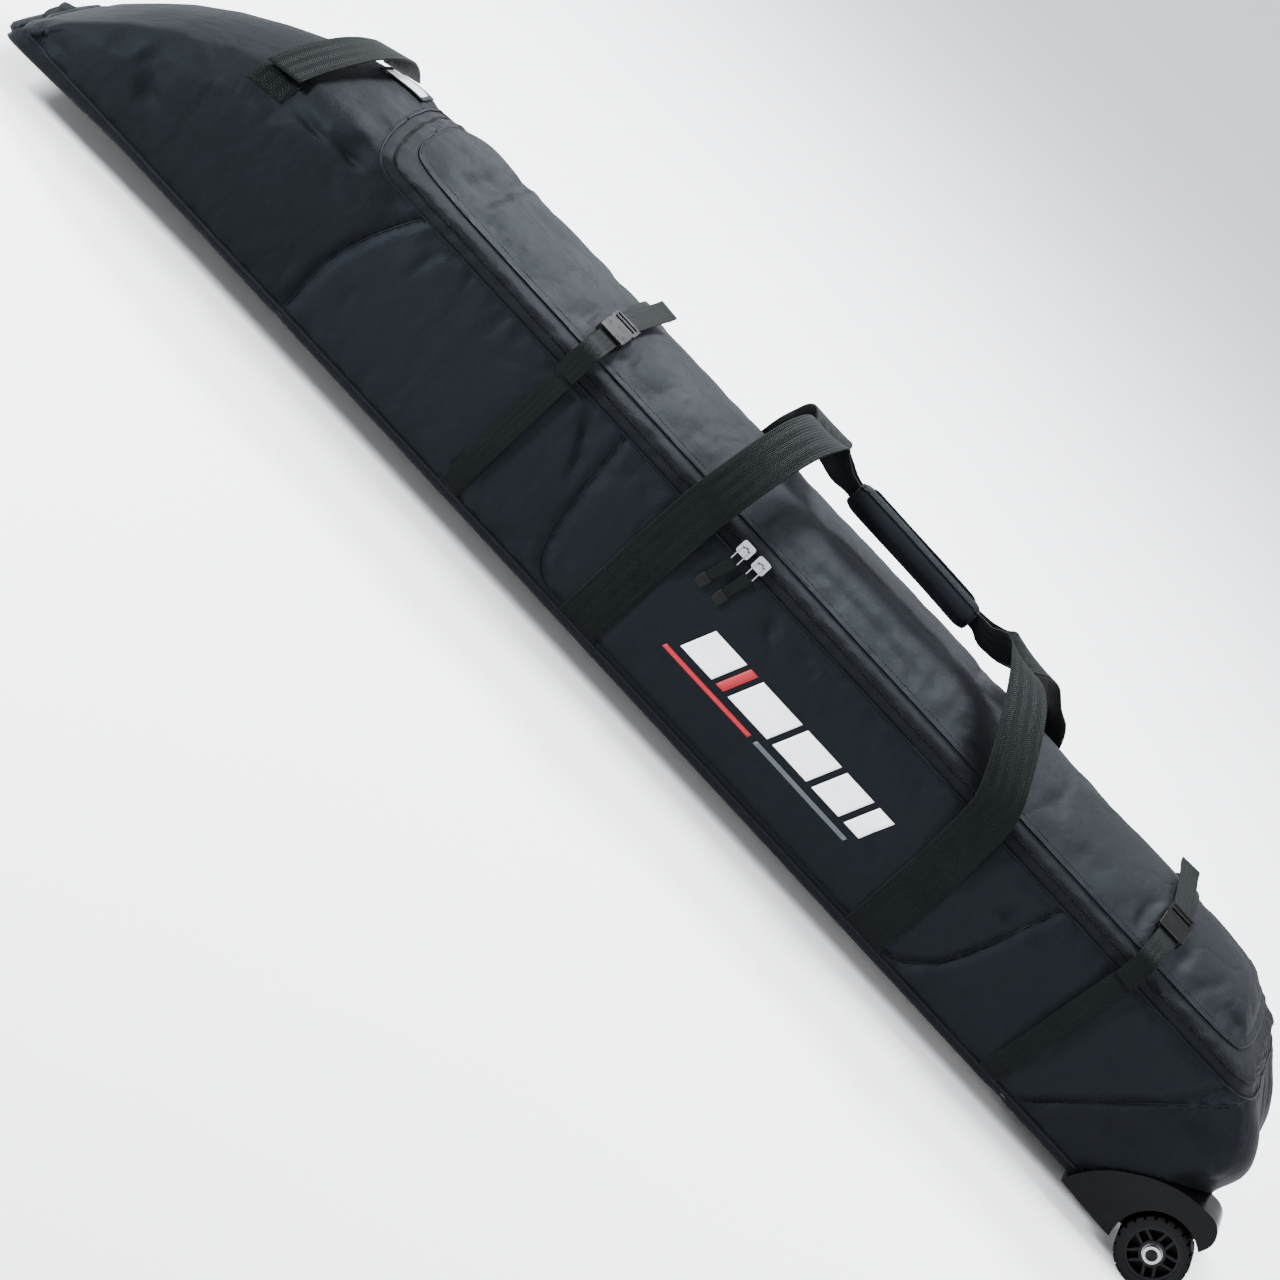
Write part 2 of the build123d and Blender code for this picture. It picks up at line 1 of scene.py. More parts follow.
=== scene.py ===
import math
import bpy
import numpy as np
from mathutils import Matrix, Vector
from mathutils.bvhtree import BVHTree


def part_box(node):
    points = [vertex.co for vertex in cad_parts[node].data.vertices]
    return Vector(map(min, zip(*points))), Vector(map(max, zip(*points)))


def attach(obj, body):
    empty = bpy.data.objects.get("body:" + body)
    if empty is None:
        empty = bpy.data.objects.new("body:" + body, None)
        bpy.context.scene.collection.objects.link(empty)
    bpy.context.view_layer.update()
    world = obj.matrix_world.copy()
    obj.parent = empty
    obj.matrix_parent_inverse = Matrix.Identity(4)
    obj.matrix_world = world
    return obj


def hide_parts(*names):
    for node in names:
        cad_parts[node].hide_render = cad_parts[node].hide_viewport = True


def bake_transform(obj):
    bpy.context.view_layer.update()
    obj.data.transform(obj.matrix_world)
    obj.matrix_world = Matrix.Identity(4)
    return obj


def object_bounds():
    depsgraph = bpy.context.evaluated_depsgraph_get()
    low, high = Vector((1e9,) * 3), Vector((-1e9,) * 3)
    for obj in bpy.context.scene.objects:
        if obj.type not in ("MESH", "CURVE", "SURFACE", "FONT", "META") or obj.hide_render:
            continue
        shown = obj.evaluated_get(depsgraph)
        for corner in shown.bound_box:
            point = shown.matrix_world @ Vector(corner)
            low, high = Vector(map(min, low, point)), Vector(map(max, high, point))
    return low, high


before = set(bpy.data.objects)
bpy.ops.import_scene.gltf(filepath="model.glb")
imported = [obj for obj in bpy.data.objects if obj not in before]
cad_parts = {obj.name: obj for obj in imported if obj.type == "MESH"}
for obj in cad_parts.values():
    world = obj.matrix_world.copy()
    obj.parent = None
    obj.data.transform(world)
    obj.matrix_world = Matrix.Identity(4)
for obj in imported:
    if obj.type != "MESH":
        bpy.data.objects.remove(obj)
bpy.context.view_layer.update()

MM = 0.001


# ---------------------------------------------------------------- numbers read from the frame, in millimetres
def box_mm(node):
    low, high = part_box(node)
    return np.array(low) / MM, np.array(high) / MM


def middle(node):
    low, high = box_mm(node)
    return (low + high) / 2


def cad_tree(*names):
    verts, polys = [], []
    for name in names:
        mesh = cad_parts[name].data
        start = len(verts)
        verts += [v.co / MM for v in mesh.vertices]
        polys += [[i + start for i in p.vertices] for p in mesh.polygons]
    return BVHTree.FromPolygons(verts, polys)


NOSE_X = box_mm("nose_shell")[0][0]
HALF = -box_mm("front_panel")[0][1]
ZIP_MID = middle("slider_nose")[2]
ZIP_HALF = ZIP_MID - box_mm("front_panel")[1][2]
BAND_LOW = ZIP_MID - ZIP_HALF
ZIP_NOSE_X = box_mm("zip_tape_upper")[0][0] - 0.8
NOSE_ARC = 38.0
ARC_X, ARC_Z = ZIP_NOSE_X + NOSE_ARC, ZIP_MID + NOSE_ARC
PAN = box_mm("seam_piping")[0][2] + 1.3
HINGE_Y = box_mm("zip_tape_upper")[1][1]
SIDE_Y = 60.0         # a seam further out than this is on a side of the bag
INSET = 6.0           # how far the sewn skin lies inside the CAD envelope
PROUD = 5.4           # how far padding may swell back out towards it
ROOF_HALF, ROOF_PROBE_Y = 155.0, 145.0
TAIL_START, TAIL_FOOT, TAIL_END = 660.0, 838.0, 854.0


def roof_profile():
    """Edge and crown heights along the bag, read from the CAD shell."""
    tree = cad_tree("nose_shell", "tail_shell", "front_panel", "back_panel", "lid_panel")
    xs, edges, crowns = [], [], []
    for x in np.arange(NOSE_X + 0.6, 798, 4.0):
        hit = [tree.ray_cast(Vector((x, y, 600)), Vector((0, 0, -1)))[0] for y in (0, ROOF_PROBE_Y)]
        if None in hit or abs(x - ZIP_NOSE_X) < 34:
            continue
        crown, side = hit[0].z, hit[1].z
        xs.append(x)
        crowns.append(crown)
        edges.append(crown - (crown - side) * (ROOF_HALF / ROOF_PROBE_Y) ** 2)
    return np.array(xs), np.array(edges), np.array(crowns)


ROOF_X, ROOF_EDGE, ROOF_CROWN = roof_profile()


def roof(x, y):
    edge, crown = np.interp(x, ROOF_X, ROOF_EDGE), np.interp(x, ROOF_X, ROOF_CROWN)
    return crown - (crown - edge) * (y / ROOF_HALF) ** 2


def tail_x(z):
    """The tail end seen from the side."""
    return np.interp(z, [-5, 0, 90, 115, 140, 165, 187, 213, 240],
                     [TAIL_FOOT, TAIL_FOOT, 843, 851, TAIL_END, 848.5, 832, 801, 769])


def smooth(t):
    t = np.clip(t, 0, 1)
    return t * t * (3 - 2 * t)


# ---------------------------------------------------------------- fields that draw the seams on the shell
def zip_field(p):
    """Distance from the line of the zip teeth, positive on the lid."""
    x, z = p[:, 0], p[:, 2]
    flat = z - ZIP_MID
    arc = NOSE_ARC - np.hypot(x - ARC_X, np.minimum(z, ARC_Z) - ARC_Z)
    return np.where(x >= ARC_X, flat, arc)


def band_half(p):
    """Half width of the zip band: full along the zip, nothing at the hinge along the back."""
    return ZIP_HALF * (1 - smooth((p[:, 1] - HINGE_Y + 10) / 16))


def below_band(p):
    return -zip_field(p) - band_half(p)


def above_band(p):
    return zip_field(p) - band_half(p)


def pan_field(p):
    """Height over the seam of the bottom pan."""
    return p[:, 2] - PAN


def nose_field(p):
    """Positive on the tail side of the curved nose seam."""
    return p[:, 0] - np.interp(p[:, 2], [0, 21, 83, 104, 130, 155, 178, 195, 240],
                               [-467, -467, -469, -464, -457, -447, -436, -426, -400])


def tail_field(p):
    """Positive on the tail side of the slanting seam at the wheel end."""
    (x0, z0), (x1, z1) = (627, 18), (773, 181)
    length = math.hypot(x1 - x0, z1 - z0)
    return ((p[:, 0] - x0) * (z1 - z0) - (p[:, 2] - z0) * (x1 - x0)) / length


POCKET = [(-137, 196), (-132, 182), (-124, 119), (-117, 82), (-110, 54), (-101, 36), (-88, 25), (-72, 20.5),
          (-52, 19.5), (420, 19.5), (436, 23), (450, 32), (470, 55), (488, 102), (507, 171), (511, 196)]


def polygon_field(x, z, outline):
    """Signed distance to a closed outline, positive inside."""
    pts = np.array(outline, float)
    nearest = np.full(len(x), 1e9)
    inside = np.zeros(len(x), bool)
    for a, b in zip(pts, np.roll(pts, -1, 0)):
        d = b - a
        t = np.clip(((x - a[0]) * d[0] + (z - a[1]) * d[1]) / (d @ d), 0, 1)
        nearest = np.minimum(nearest, np.hypot(x - a[0] - t * d[0], z - a[1] - t * d[1]))
        crosses = (a[1] > z) != (b[1] > z)
        inside ^= crosses & (x < d[0] * (z - a[1]) / (d[1] or 1e-9) + a[0])
    return np.where(inside, nearest, -nearest)


def pocket_field(p):
    return polygon_field(p[:, 0], p[:, 2], POCKET)


def arc_points(a, b, c, count=8):
    """Points on the arc through three points, in x and z."""
    (ax, az), (bx, bz), (cx, cz) = a, b, c
    d = 2 * (ax * (bz - cz) + bx * (cz - az) + cx * (az - bz))
    sa, sb, sc = ax * ax + az * az, bx * bx + bz * bz, cx * cx + cz * cz
    ox = (sa * (bz - cz) + sb * (cz - az) + sc * (az - bz)) / d
    oz = (sa * (cx - bx) + sb * (ax - cx) + sc * (bx - ax)) / d
    r = math.hypot(ax - ox, az - oz)
    angles = [math.atan2(z - oz, x - ox) for x, z in (a, b, c)]
    first, _, last = np.unwrap(angles)
    return [(ox + r * math.cos(t), oz + r * math.sin(t)) for t in np.linspace(first, last, count)]


WELL = (arc_points((716, 0), (731, 31), (757, 57)) + arc_points((757, 57), (796, 80), (841, 88))[1:]
        + arc_points((841, 88), (859, 80), (864, 62))[1:] + [(849, 0), (783, -9), (716, -9)])

WELL_Y = box_mm("wheel_housing_back")[0][1] + 1.5


def outside_well(p):
    """Positive outside the two wheel wells."""
    side = np.abs(p[:, 1]) - WELL_Y
    return -np.minimum(polygon_field(p[:, 0], p[:, 2], WELL) - 1.5, side)


# ---------------------------------------------------------------- mesh helpers
def new_object(name, verts, faces, materials):
    mesh = bpy.data.meshes.new(name)
    mesh.from_pydata([tuple(v) for v in np.asarray(verts, float) * MM], [], [tuple(f) for f in faces])
    mesh.validate()
    for m in materials:
        mesh.materials.append(m)
    mesh.shade_smooth()
    obj = bpy.data.objects.new(name, mesh)
    bpy.context.scene.collection.objects.link(obj)
    return obj


def settled(obj):
    """Vertices and faces of obj with its modifiers applied, in millimetres."""
    graph = bpy.context.evaluated_depsgraph_get()
    mesh = obj.evaluated_get(graph).to_mesh()
    co = np.empty(len(mesh.vertices) * 3)
    mesh.vertices.foreach_get("co", co)
    return co.reshape(-1, 3) / MM, [tuple(p.vertices) for p in mesh.polygons]


def compact(verts, faces):
    """The faces with only the vertices they use."""
    used = sorted({i for f in faces for i in f})
    index = {old: new for new, old in enumerate(used)}
    return np.array([verts[i] for i in used]), [tuple(index[i] for i in f) for f in faces]


def ring_faces(rings, n, inward=False):
    """Quads between closed rings of n points each."""
    faces = []
    for i in range(rings - 1):
        for k in range(n):
            a, b = i * n + k, i * n + (k + 1) % n
            faces.append((a, a + n, b + n, b) if inward else (a, b, b + n, a + n))
    return faces


def grid_faces(columns, rows):
    """Quads of an open grid stored row by row."""
    return [(j * columns + i, j * columns + i + 1, (j + 1) * columns + i + 1, (j + 1) * columns + i)
            for j in range(rows - 1) for i in range(columns - 1)]


def clip(verts, faces, field, level=0.0):
    """The part of a mesh where field is above level, cut cleanly along the line where they are equal."""
    d = field(verts) - level
    d = np.where(np.abs(d) < 1e-5, 1e-5, d)
    inside = d > 0
    points, cut, kept = list(verts), {}, []

    def crossing(a, b):
        key = (a, b) if a < b else (b, a)
        if key not in cut:
            t = d[key[0]] / (d[key[0]] - d[key[1]])
            cut[key] = len(points)
            points.append(verts[key[0]] + t * (verts[key[1]] - verts[key[0]]))
        return cut[key]

    flags = inside[padded(faces)]
    whole, none = flags.all(1), ~flags.any(1)
    for face, every, outside in zip(faces, whole, none):
        if every:
            kept.append(face)
        if every or outside:
            continue
        out = []
        for k, a in enumerate(face):
            b = face[(k + 1) % len(face)]
            if inside[a]:
                out.append(a)
            if inside[a] != inside[b]:
                out.append(crossing(a, b))
        if len(out) >= 3:
            kept.append(tuple(out))
    return compact(points, kept)


def padded(faces):
    """Faces as one array, short ones repeating their last corner."""
    width = max(map(len, faces))
    return np.array([f + f[-1:] * (width - len(f)) for f in map(tuple, faces)])


def vertex_normals(verts, faces):
    table = padded(faces)
    flat = np.cross(verts[table[:, 1]] - verts[table[:, 0]], verts[table[:, 2]] - verts[table[:, 0]])
    normals = np.zeros_like(verts)
    for k in range(table.shape[1]):
        np.add.at(normals, table[:, k], flat)
    return normals / np.maximum(np.linalg.norm(normals, axis=1, keepdims=True), 1e-9)


SHORTEST_SEAM = 60.0


def iso_curves(verts, faces, field, level, keep):
    """Ordered lines on the mesh where field equals level; keep(point) drops what isn't wanted."""
    d = field(verts) - level
    d = np.where(np.abs(d) < 1e-5, 1e-5, d)
    inside = d > 0
    place, links, wanted = {}, {}, {}

    def is_wanted(key):
        if key not in wanted:
            wanted[key] = keep is None or keep(place[key])
        return wanted[key]

    flags = inside[padded(faces)]
    for number in np.nonzero(flags.any(1) & ~flags.all(1))[0]:
        face, ends = faces[number], []
        for k, a in enumerate(face):
            b = face[(k + 1) % len(face)]
            if inside[a] != inside[b]:
                key = (a, b) if a < b else (b, a)
                if key not in place:
                    t = d[key[0]] / (d[key[0]] - d[key[1]])
                    place[key] = verts[key[0]] + t * (verts[key[1]] - verts[key[0]])
                ends.append(key)
        if len(ends) == 2 and is_wanted(ends[0]) and is_wanted(ends[1]):
            links.setdefault(ends[0], []).append(ends[1])
            links.setdefault(ends[1], []).append(ends[0])
    lines, seen = [], set()
    for start in sorted(links, key=lambda e: (len(links[e]), e)):
        if start in seen:
            continue
        line, at = [start], start
        seen.add(start)
        while True:
            ahead = [e for e in links[at] if e not in seen]
            if not ahead:
                break
            at = ahead[0]
            seen.add(at)
            line.append(at)
        points = np.array([place[e] for e in line])
        if len(points) > 3 and np.linalg.norm(np.diff(points, axis=0), axis=1).sum() > SHORTEST_SEAM:
            lines.append(points)
    return lines


def resample(points, step, rounds=3):
    """Evenly spaced points along a line, softened a little."""
    points = np.asarray(points, float)
    along = np.concatenate([[0], np.cumsum(np.linalg.norm(np.diff(points, axis=0), axis=1))])
    count = max(3, int(round(along[-1] / step)) + 1)
    t = np.linspace(0, along[-1], count)
    out = np.column_stack([np.interp(t, along, points[:, k]) for k in range(3)])
    for _ in range(rounds):
        out[1:-1] = (out[:-2] + 2 * out[1:-1] + out[2:]) / 4
    return out


def tube_data(points, radius, sides):
    """A closed round cord along a line."""
    tangents = np.gradient(points, axis=0)
    tangents /= np.maximum(np.linalg.norm(tangents, axis=1, keepdims=True), 1e-9)
    side = np.cross(tangents[0], (0.3, 0.5, 0.81))
    verts = []
    for p, t in zip(points, tangents):
        side = side - t * (side @ t)
        side /= np.linalg.norm(side)
        up = np.cross(t, side)
        for k in range(sides):
            a = 2 * math.pi * k / sides
            verts.append(p + radius * (math.cos(a) * side + math.sin(a) * up))
    last = (len(points) - 1) * sides
    faces = ring_faces(len(points), sides)
    return verts, faces + [tuple(range(sides))[::-1], tuple(range(last, last + sides))]


def merged(chunks):
    verts, faces = [], []
    for v, f in chunks:
        start = len(verts)
        verts += [tuple(p) for p in v]
        faces += [tuple(i + start for i in face) for face in f]
    return verts, faces


def dash(centre, along, up, length, width):
    """One raised stitch."""
    rise, sunk = 0.5, 0.15
    along, up = along / np.linalg.norm(along), up / np.linalg.norm(up)
    across = np.cross(along, up)
    verts = []
    for t, w in ((-0.5, 0.35), (-0.3, 1.0), (0.3, 1.0), (0.5, 0.35)):
        for a, h in ((-0.5, 0), (0, 1), (0.5, 0)):
            verts.append(centre + along * t * length + across * a * width * w + up * (h * rise * w - sunk))
    return verts, [(0, 1, 2), (11, 10, 9)] + ring_faces(4, 3, inward=True)


def stitch_chunks(points, normals, pitch, length, width):
    """Stitches along a line that lies on a surface with these normals."""
    even = resample(points, pitch, 1)
    chunks = []
    for i in range(len(even) - 1):
        centre = (even[i] + even[i + 1]) / 2
        near = normals[np.argmin(((points - centre) ** 2).sum(1))]
        chunks.append(dash(centre, even[i + 1] - even[i], near, length, width))
    return chunks


# ---------------------------------------------------------------- materials
def nodes_of(name):
    mat = bpy.data.materials.new(name)
    mat.use_nodes = True
    tree = mat.node_tree
    return mat, tree, tree.nodes["Principled BSDF"]


def feed(tree, node, inputs):
    """Link or set each named input of a node."""
    for key, value in inputs.items():
        if isinstance(value, bpy.types.NodeSocket):
            tree.links.new(value, node.inputs[key])
        else:
            node.inputs[key].default_value = value


def add(tree, kind, inputs=None, **props):
    node = tree.nodes.new(kind)
    for key, value in props.items():
        setattr(node, key, value)
    feed(tree, node, inputs or {})
    return node


def coords(tree, uv=False, stretch=(1, 1, 1)):
    source = add(tree, "ShaderNodeTexCoord").outputs["UV" if uv else "Object"]
    return add(tree, "ShaderNodeMapping", {"Vector": source, "Scale": stretch}).outputs[0]


def math_node(tree, op, a, b=0.0):
    return add(tree, "ShaderNodeMath", {0: a, 1: b}, operation=op).outputs[0]


def mix_colour(tree, factor, a, b):
    return add(tree, "ShaderNodeMix", {0: factor, 6: a, 7: b}, data_type="RGBA").outputs[2]


DEPTH = 0.085        # how dark the black cloth and webbing are under the studio light


def rgba(c):
    return (c[0], c[1], c[2], 1.0)


def wave(tree, vector, direction, pitch, distortion=0.0):
    return add(tree, "ShaderNodeTexWave", {"Vector": vector, "Scale": math.pi / 10 / pitch,
                                           "Distortion": distortion, "Detail": 1.0},
               bands_direction=direction).outputs["Fac"]


def noise(tree, vector, scale, detail=3.0, rough=0.5):
    return add(tree, "ShaderNodeTexNoise", {"Vector": vector, "Scale": scale, "Detail": detail,
                                            "Roughness": rough}).outputs["Fac"]


def ramp(tree, value, low, high, a=0.0, b=1.0):
    return add(tree, "ShaderNodeMapRange", {0: value, 1: low, 2: high, 3: a, 4: b}).outputs[0]


def bump(tree, height, strength, distance, normal=None):
    inputs = {"Height": height, "Strength": strength, "Distance": distance}
    if normal is not None:
        inputs["Normal"] = normal
    return add(tree, "ShaderNodeBump", inputs).outputs[0]


def woven(name, colour, tint, rough=0.62, pitch=0.0011, sheen=0.25, weave=0.35, crumple=0.5):
    """Coated plain-weave cloth: fine threads, slow colour drift, small creases and paler worn ridges."""
    mat, tree, bsdf = nodes_of(name)
    colour, tint, sheen = [c * DEPTH for c in colour], [c * DEPTH for c in tint], sheen * 0.05
    at = coords(tree)
    threads = math_node(tree, "MULTIPLY", wave(tree, at, "X", pitch, 0.4), wave(tree, at, "Z", pitch, 0.4))
    depth_threads = math_node(tree, "MULTIPLY", wave(tree, at, "Y", pitch, 0.4), 0.6)
    threads = math_node(tree, "ADD", threads, depth_threads)
    drift = noise(tree, at, 9.0, 5.0, 0.6)
    fine = noise(tree, at, 240.0, 2.0, 0.6)
    dust = noise(tree, at, 900.0, 2.0, 0.7)
    base = mix_colour(tree, ramp(tree, drift, 0.3, 0.7), rgba(colour), rgba(tint))
    base = mix_colour(tree, ramp(tree, fine, 0.35, 0.75, 0.0, 0.35), base, rgba([c * 0.55 for c in colour]))
    ridge = add(tree, "ShaderNodeNewGeometry").outputs["Pointiness"]
    pale = rgba([c * 2.2 + 0.002 for c in tint])
    base = mix_colour(tree, ramp(tree, ridge, 0.52, 0.62, 0.0, 0.45), base, pale)
    base = mix_colour(tree, ramp(tree, dust, 0.72, 0.8, 0.0, 0.2), base, rgba([0.012, 0.014, 0.018]))
    creases = noise(tree, coords(tree, stretch=(1, 1, 0.6)), 32.0, 4.0, 0.55)
    folds = noise(tree, coords(tree, stretch=(1.4, 1, 0.7)), 7.5, 3.0, 0.5)
    ridged = math_node(tree, "ABSOLUTE", math_node(tree, "SUBTRACT", folds, 0.5))
    sharp = ramp(tree, ridged, 0.0, 0.06)
    n = bump(tree, sharp, 0.55 * crumple, 0.0024)
    n = bump(tree, creases, crumple, 0.005, n)
    n = bump(tree, threads, weave, 0.0004, n)
    n = bump(tree, fine, 0.15, 0.0006, n)
    feed(tree, bsdf, {
        "Base Color": base, "Roughness": ramp(tree, drift, 0.3, 0.7, rough - 0.07, rough + 0.08), "Normal": n,
        "Sheen Weight": sheen, "Sheen Roughness": 0.45, "Sheen Tint": rgba([0.62, 0.7, 0.86]),
        "Specular IOR Level": 0.09, "Specular Tint": rgba([0.72, 0.84, 1.0])})
    return mat


def webbing(name, colour):
    """Flat woven tape with a herringbone face; U runs across from 0 to 1 and V along in metres."""
    pitch = 0.0024
    mat, tree, bsdf = nodes_of(name)
    colour = [c * DEPTH for c in colour]
    at = coords(tree, uv=True)
    split = add(tree, "ShaderNodeSeparateXYZ", {0: at}).outputs
    zig = math_node(tree, "PINGPONG", math_node(tree, "MULTIPLY", split[0], 8.0), 1.0)
    slant = math_node(tree, "ADD", split[1], math_node(tree, "MULTIPLY", zig, pitch * 1.5))
    line = add(tree, "ShaderNodeCombineXYZ", {0: slant, 1: slant, 2: 0.0}).outputs[0]
    rows = wave(tree, line, "X", pitch)
    cords = add(tree, "ShaderNodeCombineXYZ", {0: split[0], 1: 0.0, 2: 0.0}).outputs[0]
    ribs = wave(tree, cords, "X", 0.0625)
    height = math_node(tree, "ADD", rows, math_node(tree, "MULTIPLY", ribs, 0.7))
    drift = noise(tree, coords(tree), 30.0, 4.0, 0.6)
    fuzz = noise(tree, coords(tree), 1500.0, 2.0, 0.6)
    dark, pale = rgba([c * 0.6 for c in colour]), rgba([c * 1.6 + 0.001 for c in colour])
    frayed = rgba([c * 2.4 + 0.002 for c in colour])
    base = mix_colour(tree, ramp(tree, rows, 0.2, 0.8, 0.15, 0.7), dark, rgba(colour))
    base = mix_colour(tree, ramp(tree, drift, 0.4, 0.75, 0, 0.5), base, pale)
    base = mix_colour(tree, ramp(tree, fuzz, 0.66, 0.8, 0, 0.25), base, rgba([0.012, 0.014, 0.014]))
    edge = math_node(tree, "ABSOLUTE", math_node(tree, "SUBTRACT", split[0], 0.5))
    base = mix_colour(tree, ramp(tree, edge, 0.45, 0.5, 0, 0.45), base, frayed)
    n = bump(tree, height, 0.55, 0.0006, bump(tree, fuzz, 0.2, 0.0004))
    feed(tree, bsdf, {
        "Base Color": base, "Roughness": 0.58, "Normal": n,
        "Sheen Weight": 0.012, "Sheen Tint": rgba([0.7, 0.76, 0.76]),
        "Specular IOR Level": 0.06, "Specular Tint": rgba([0.74, 0.9, 0.92])})
    return mat


def moulded(name, colour, rough, grain, worn=None, metal=0.0, scale=700.0, coat=0.0, gloss=0.24):
    """Moulded plastic, rubber or metal: fine surface grain, scuffed edges, uneven gloss."""
    mat, tree, bsdf = nodes_of(name)
    at = coords(tree)
    fine, broad = noise(tree, at, scale, 3.0, 0.6), noise(tree, at, 45.0, 5.0, 0.65)
    worn = worn or [min(1.0, c * 2.6 + 0.02) for c in colour]
    ridge = add(tree, "ShaderNodeNewGeometry").outputs["Pointiness"]
    lighter = rgba([c * 1.35 + 0.003 for c in colour])
    base = mix_colour(tree, ramp(tree, broad, 0.35, 0.7, 0, 0.35), rgba(colour), lighter)
    base = mix_colour(tree, ramp(tree, ridge, 0.53, 0.6, 0, 0.5), base, rgba(worn))
    feed(tree, bsdf, {
        "Base Color": base, "Roughness": ramp(tree, broad, 0.3, 0.7, max(0.05, rough - 0.1), rough + 0.1),
        "Normal": bump(tree, fine, grain, 0.0004), "Metallic": metal, "Coat Weight": coat,
        "Specular IOR Level": gloss})
    return mat


M = {
    "shell": woven("shell_cloth", [0.0125, 0.0150, 0.0200], [0.0175, 0.0205, 0.0275]),
    "lid": woven("lid_cloth", [0.0120, 0.0142, 0.0192], [0.0170, 0.0200, 0.0270], sheen=0.2),
    # the nose and tail cloths are the shell cloth made darker (the nose also with less sheen): painted shade
    # for the two ends turned away from the light
    "nose": woven("nose_cloth_painted_shade", [0.0055, 0.0065, 0.0085], [0.0085, 0.0098, 0.0125], rough=0.68, sheen=0.18),
    "tail": woven("tail_cloth_painted_shade", [0.0065, 0.0074, 0.0092], [0.0100, 0.0114, 0.0142]),
    "pan": woven("pan_cloth", [0.0075, 0.0080, 0.0095], [0.0115, 0.0120, 0.0140], rough=0.7, pitch=0.0016,
                 weave=0.6),
    "lining": woven("lining_cloth", [0.045, 0.048, 0.055], [0.060, 0.064, 0.072], rough=0.75, sheen=0.1),
    "tape": woven("zip_tape_cloth", [0.0070, 0.0075, 0.0085], [0.0105, 0.0110, 0.0125], rough=0.6,
                  pitch=0.0008, weave=0.6, crumple=0.1),
    "piping": woven("piping_cloth", [0.0095, 0.0105, 0.0125], [0.0150, 0.0165, 0.0195], rough=0.5,
                    crumple=0.1),
    "thread": woven("thread", [0.0200, 0.0215, 0.0240], [0.0290, 0.0305, 0.0330], rough=0.5, pitch=0.0006,
                    crumple=0.0),
    "webbing": webbing("strap_webbing", [0.0062, 0.0080, 0.0082]),
    "handle": webbing("handle_webbing", [0.0070, 0.0090, 0.0092]),
    "grip": woven("grip_cloth", [0.0125, 0.0145, 0.0180], [0.0185, 0.0205, 0.0250], sheen=0.3, pitch=0.0014),
    "buckle": moulded("buckle_acetal", [0.0012, 0.0012, 0.0014], 0.3, 0.08, worn=[0.003, 0.003, 0.004],
                      gloss=0.06),
    "housing": moulded("housing_plastic", [0.0007, 0.0007, 0.0009], 0.22, 0.02, worn=[0.0010, 0.0010, 0.0012],
                       gloss=0.05, coat=0.02),
    "tyre": moulded("tyre_rubber", [0.0022, 0.0022, 0.0024], 0.72, 0.5, worn=[0.006, 0.006, 0.006],
                    gloss=0.05),
    "hub": moulded("hub_plastic", [0.0025, 0.0025, 0.0028], 0.42, 0.2, worn=[0.007, 0.007, 0.008],
                   gloss=0.07),
    "chrome": moulded("chrome_plate", [0.20, 0.20, 0.21], 0.15, 0.05, worn=[0.34, 0.34, 0.35], metal=1.0),
    "steel": moulded("brushed_steel", [0.12, 0.12, 0.13], 0.36, 0.3, metal=1.0),
    "nickel": moulded("nickel_slider", [0.10, 0.10, 0.11], 0.16, 0.5, worn=[0.26, 0.26, 0.28], metal=1.0,
                      scale=260.0),
    "teeth": moulded("coil_nylon", [0.0025, 0.0025, 0.003], 0.34, 0.1, worn=[0.009, 0.009, 0.011], gloss=0.1),
    "tag": moulded("tag_rubber", [0.0035, 0.0035, 0.0035], 0.5, 0.5, worn=[0.006, 0.006, 0.006], gloss=0.05),
    "board": moulded("board_plastic", [0.03, 0.03, 0.032], 0.5, 0.3),
    "card": moulded("card_board", [0.62, 0.63, 0.62], 0.6, 0.1),
    "white": moulded("print_white", [0.62, 0.62, 0.64], 0.55, 0.4, worn=[0.75, 0.75, 0.75], scale=1400),
    "red": moulded("print_red", [0.20, 0.0015, 0.008], 0.55, 0.4, worn=[0.20, 0.0015, 0.008], scale=1400),
    "grey": moulded("print_grey", [0.022, 0.026, 0.030], 0.55, 0.4, scale=1400),
}


def clear_vinyl():
    mat, tree, bsdf = nodes_of("clear_vinyl")
    ripple = noise(tree, coords(tree), 60.0, 3.0)
    feed(tree, bsdf, {"Base Color": (0.9, 0.92, 0.95, 1), "Roughness": 0.12, "Alpha": 0.22,
                      "Normal": bump(tree, ripple, 0.3, 0.001)})
    return mat


M["clear"] = clear_vinyl()


def finish_piece(obj, body, slot, *nodes):
    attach(obj, body)
    if nodes:
        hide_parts(*nodes)


def chunk_piece(name, chunks, mat, body, slot, *nodes):
    """One piece made of many small meshes."""
    finish_piece(new_object(name, *merged(chunks), [M[mat]]), body, slot, *nodes)


# ---------------------------------------------------------------- the padded shell
NOSE_ROUND, TAIL_ROUND, CAP_Z = 26.0, 56.0, 112.0
COUNTS = (11, 3, 17, 3, 4, 13)      # bottom, lower corner, side, band, shoulder, half of the dome


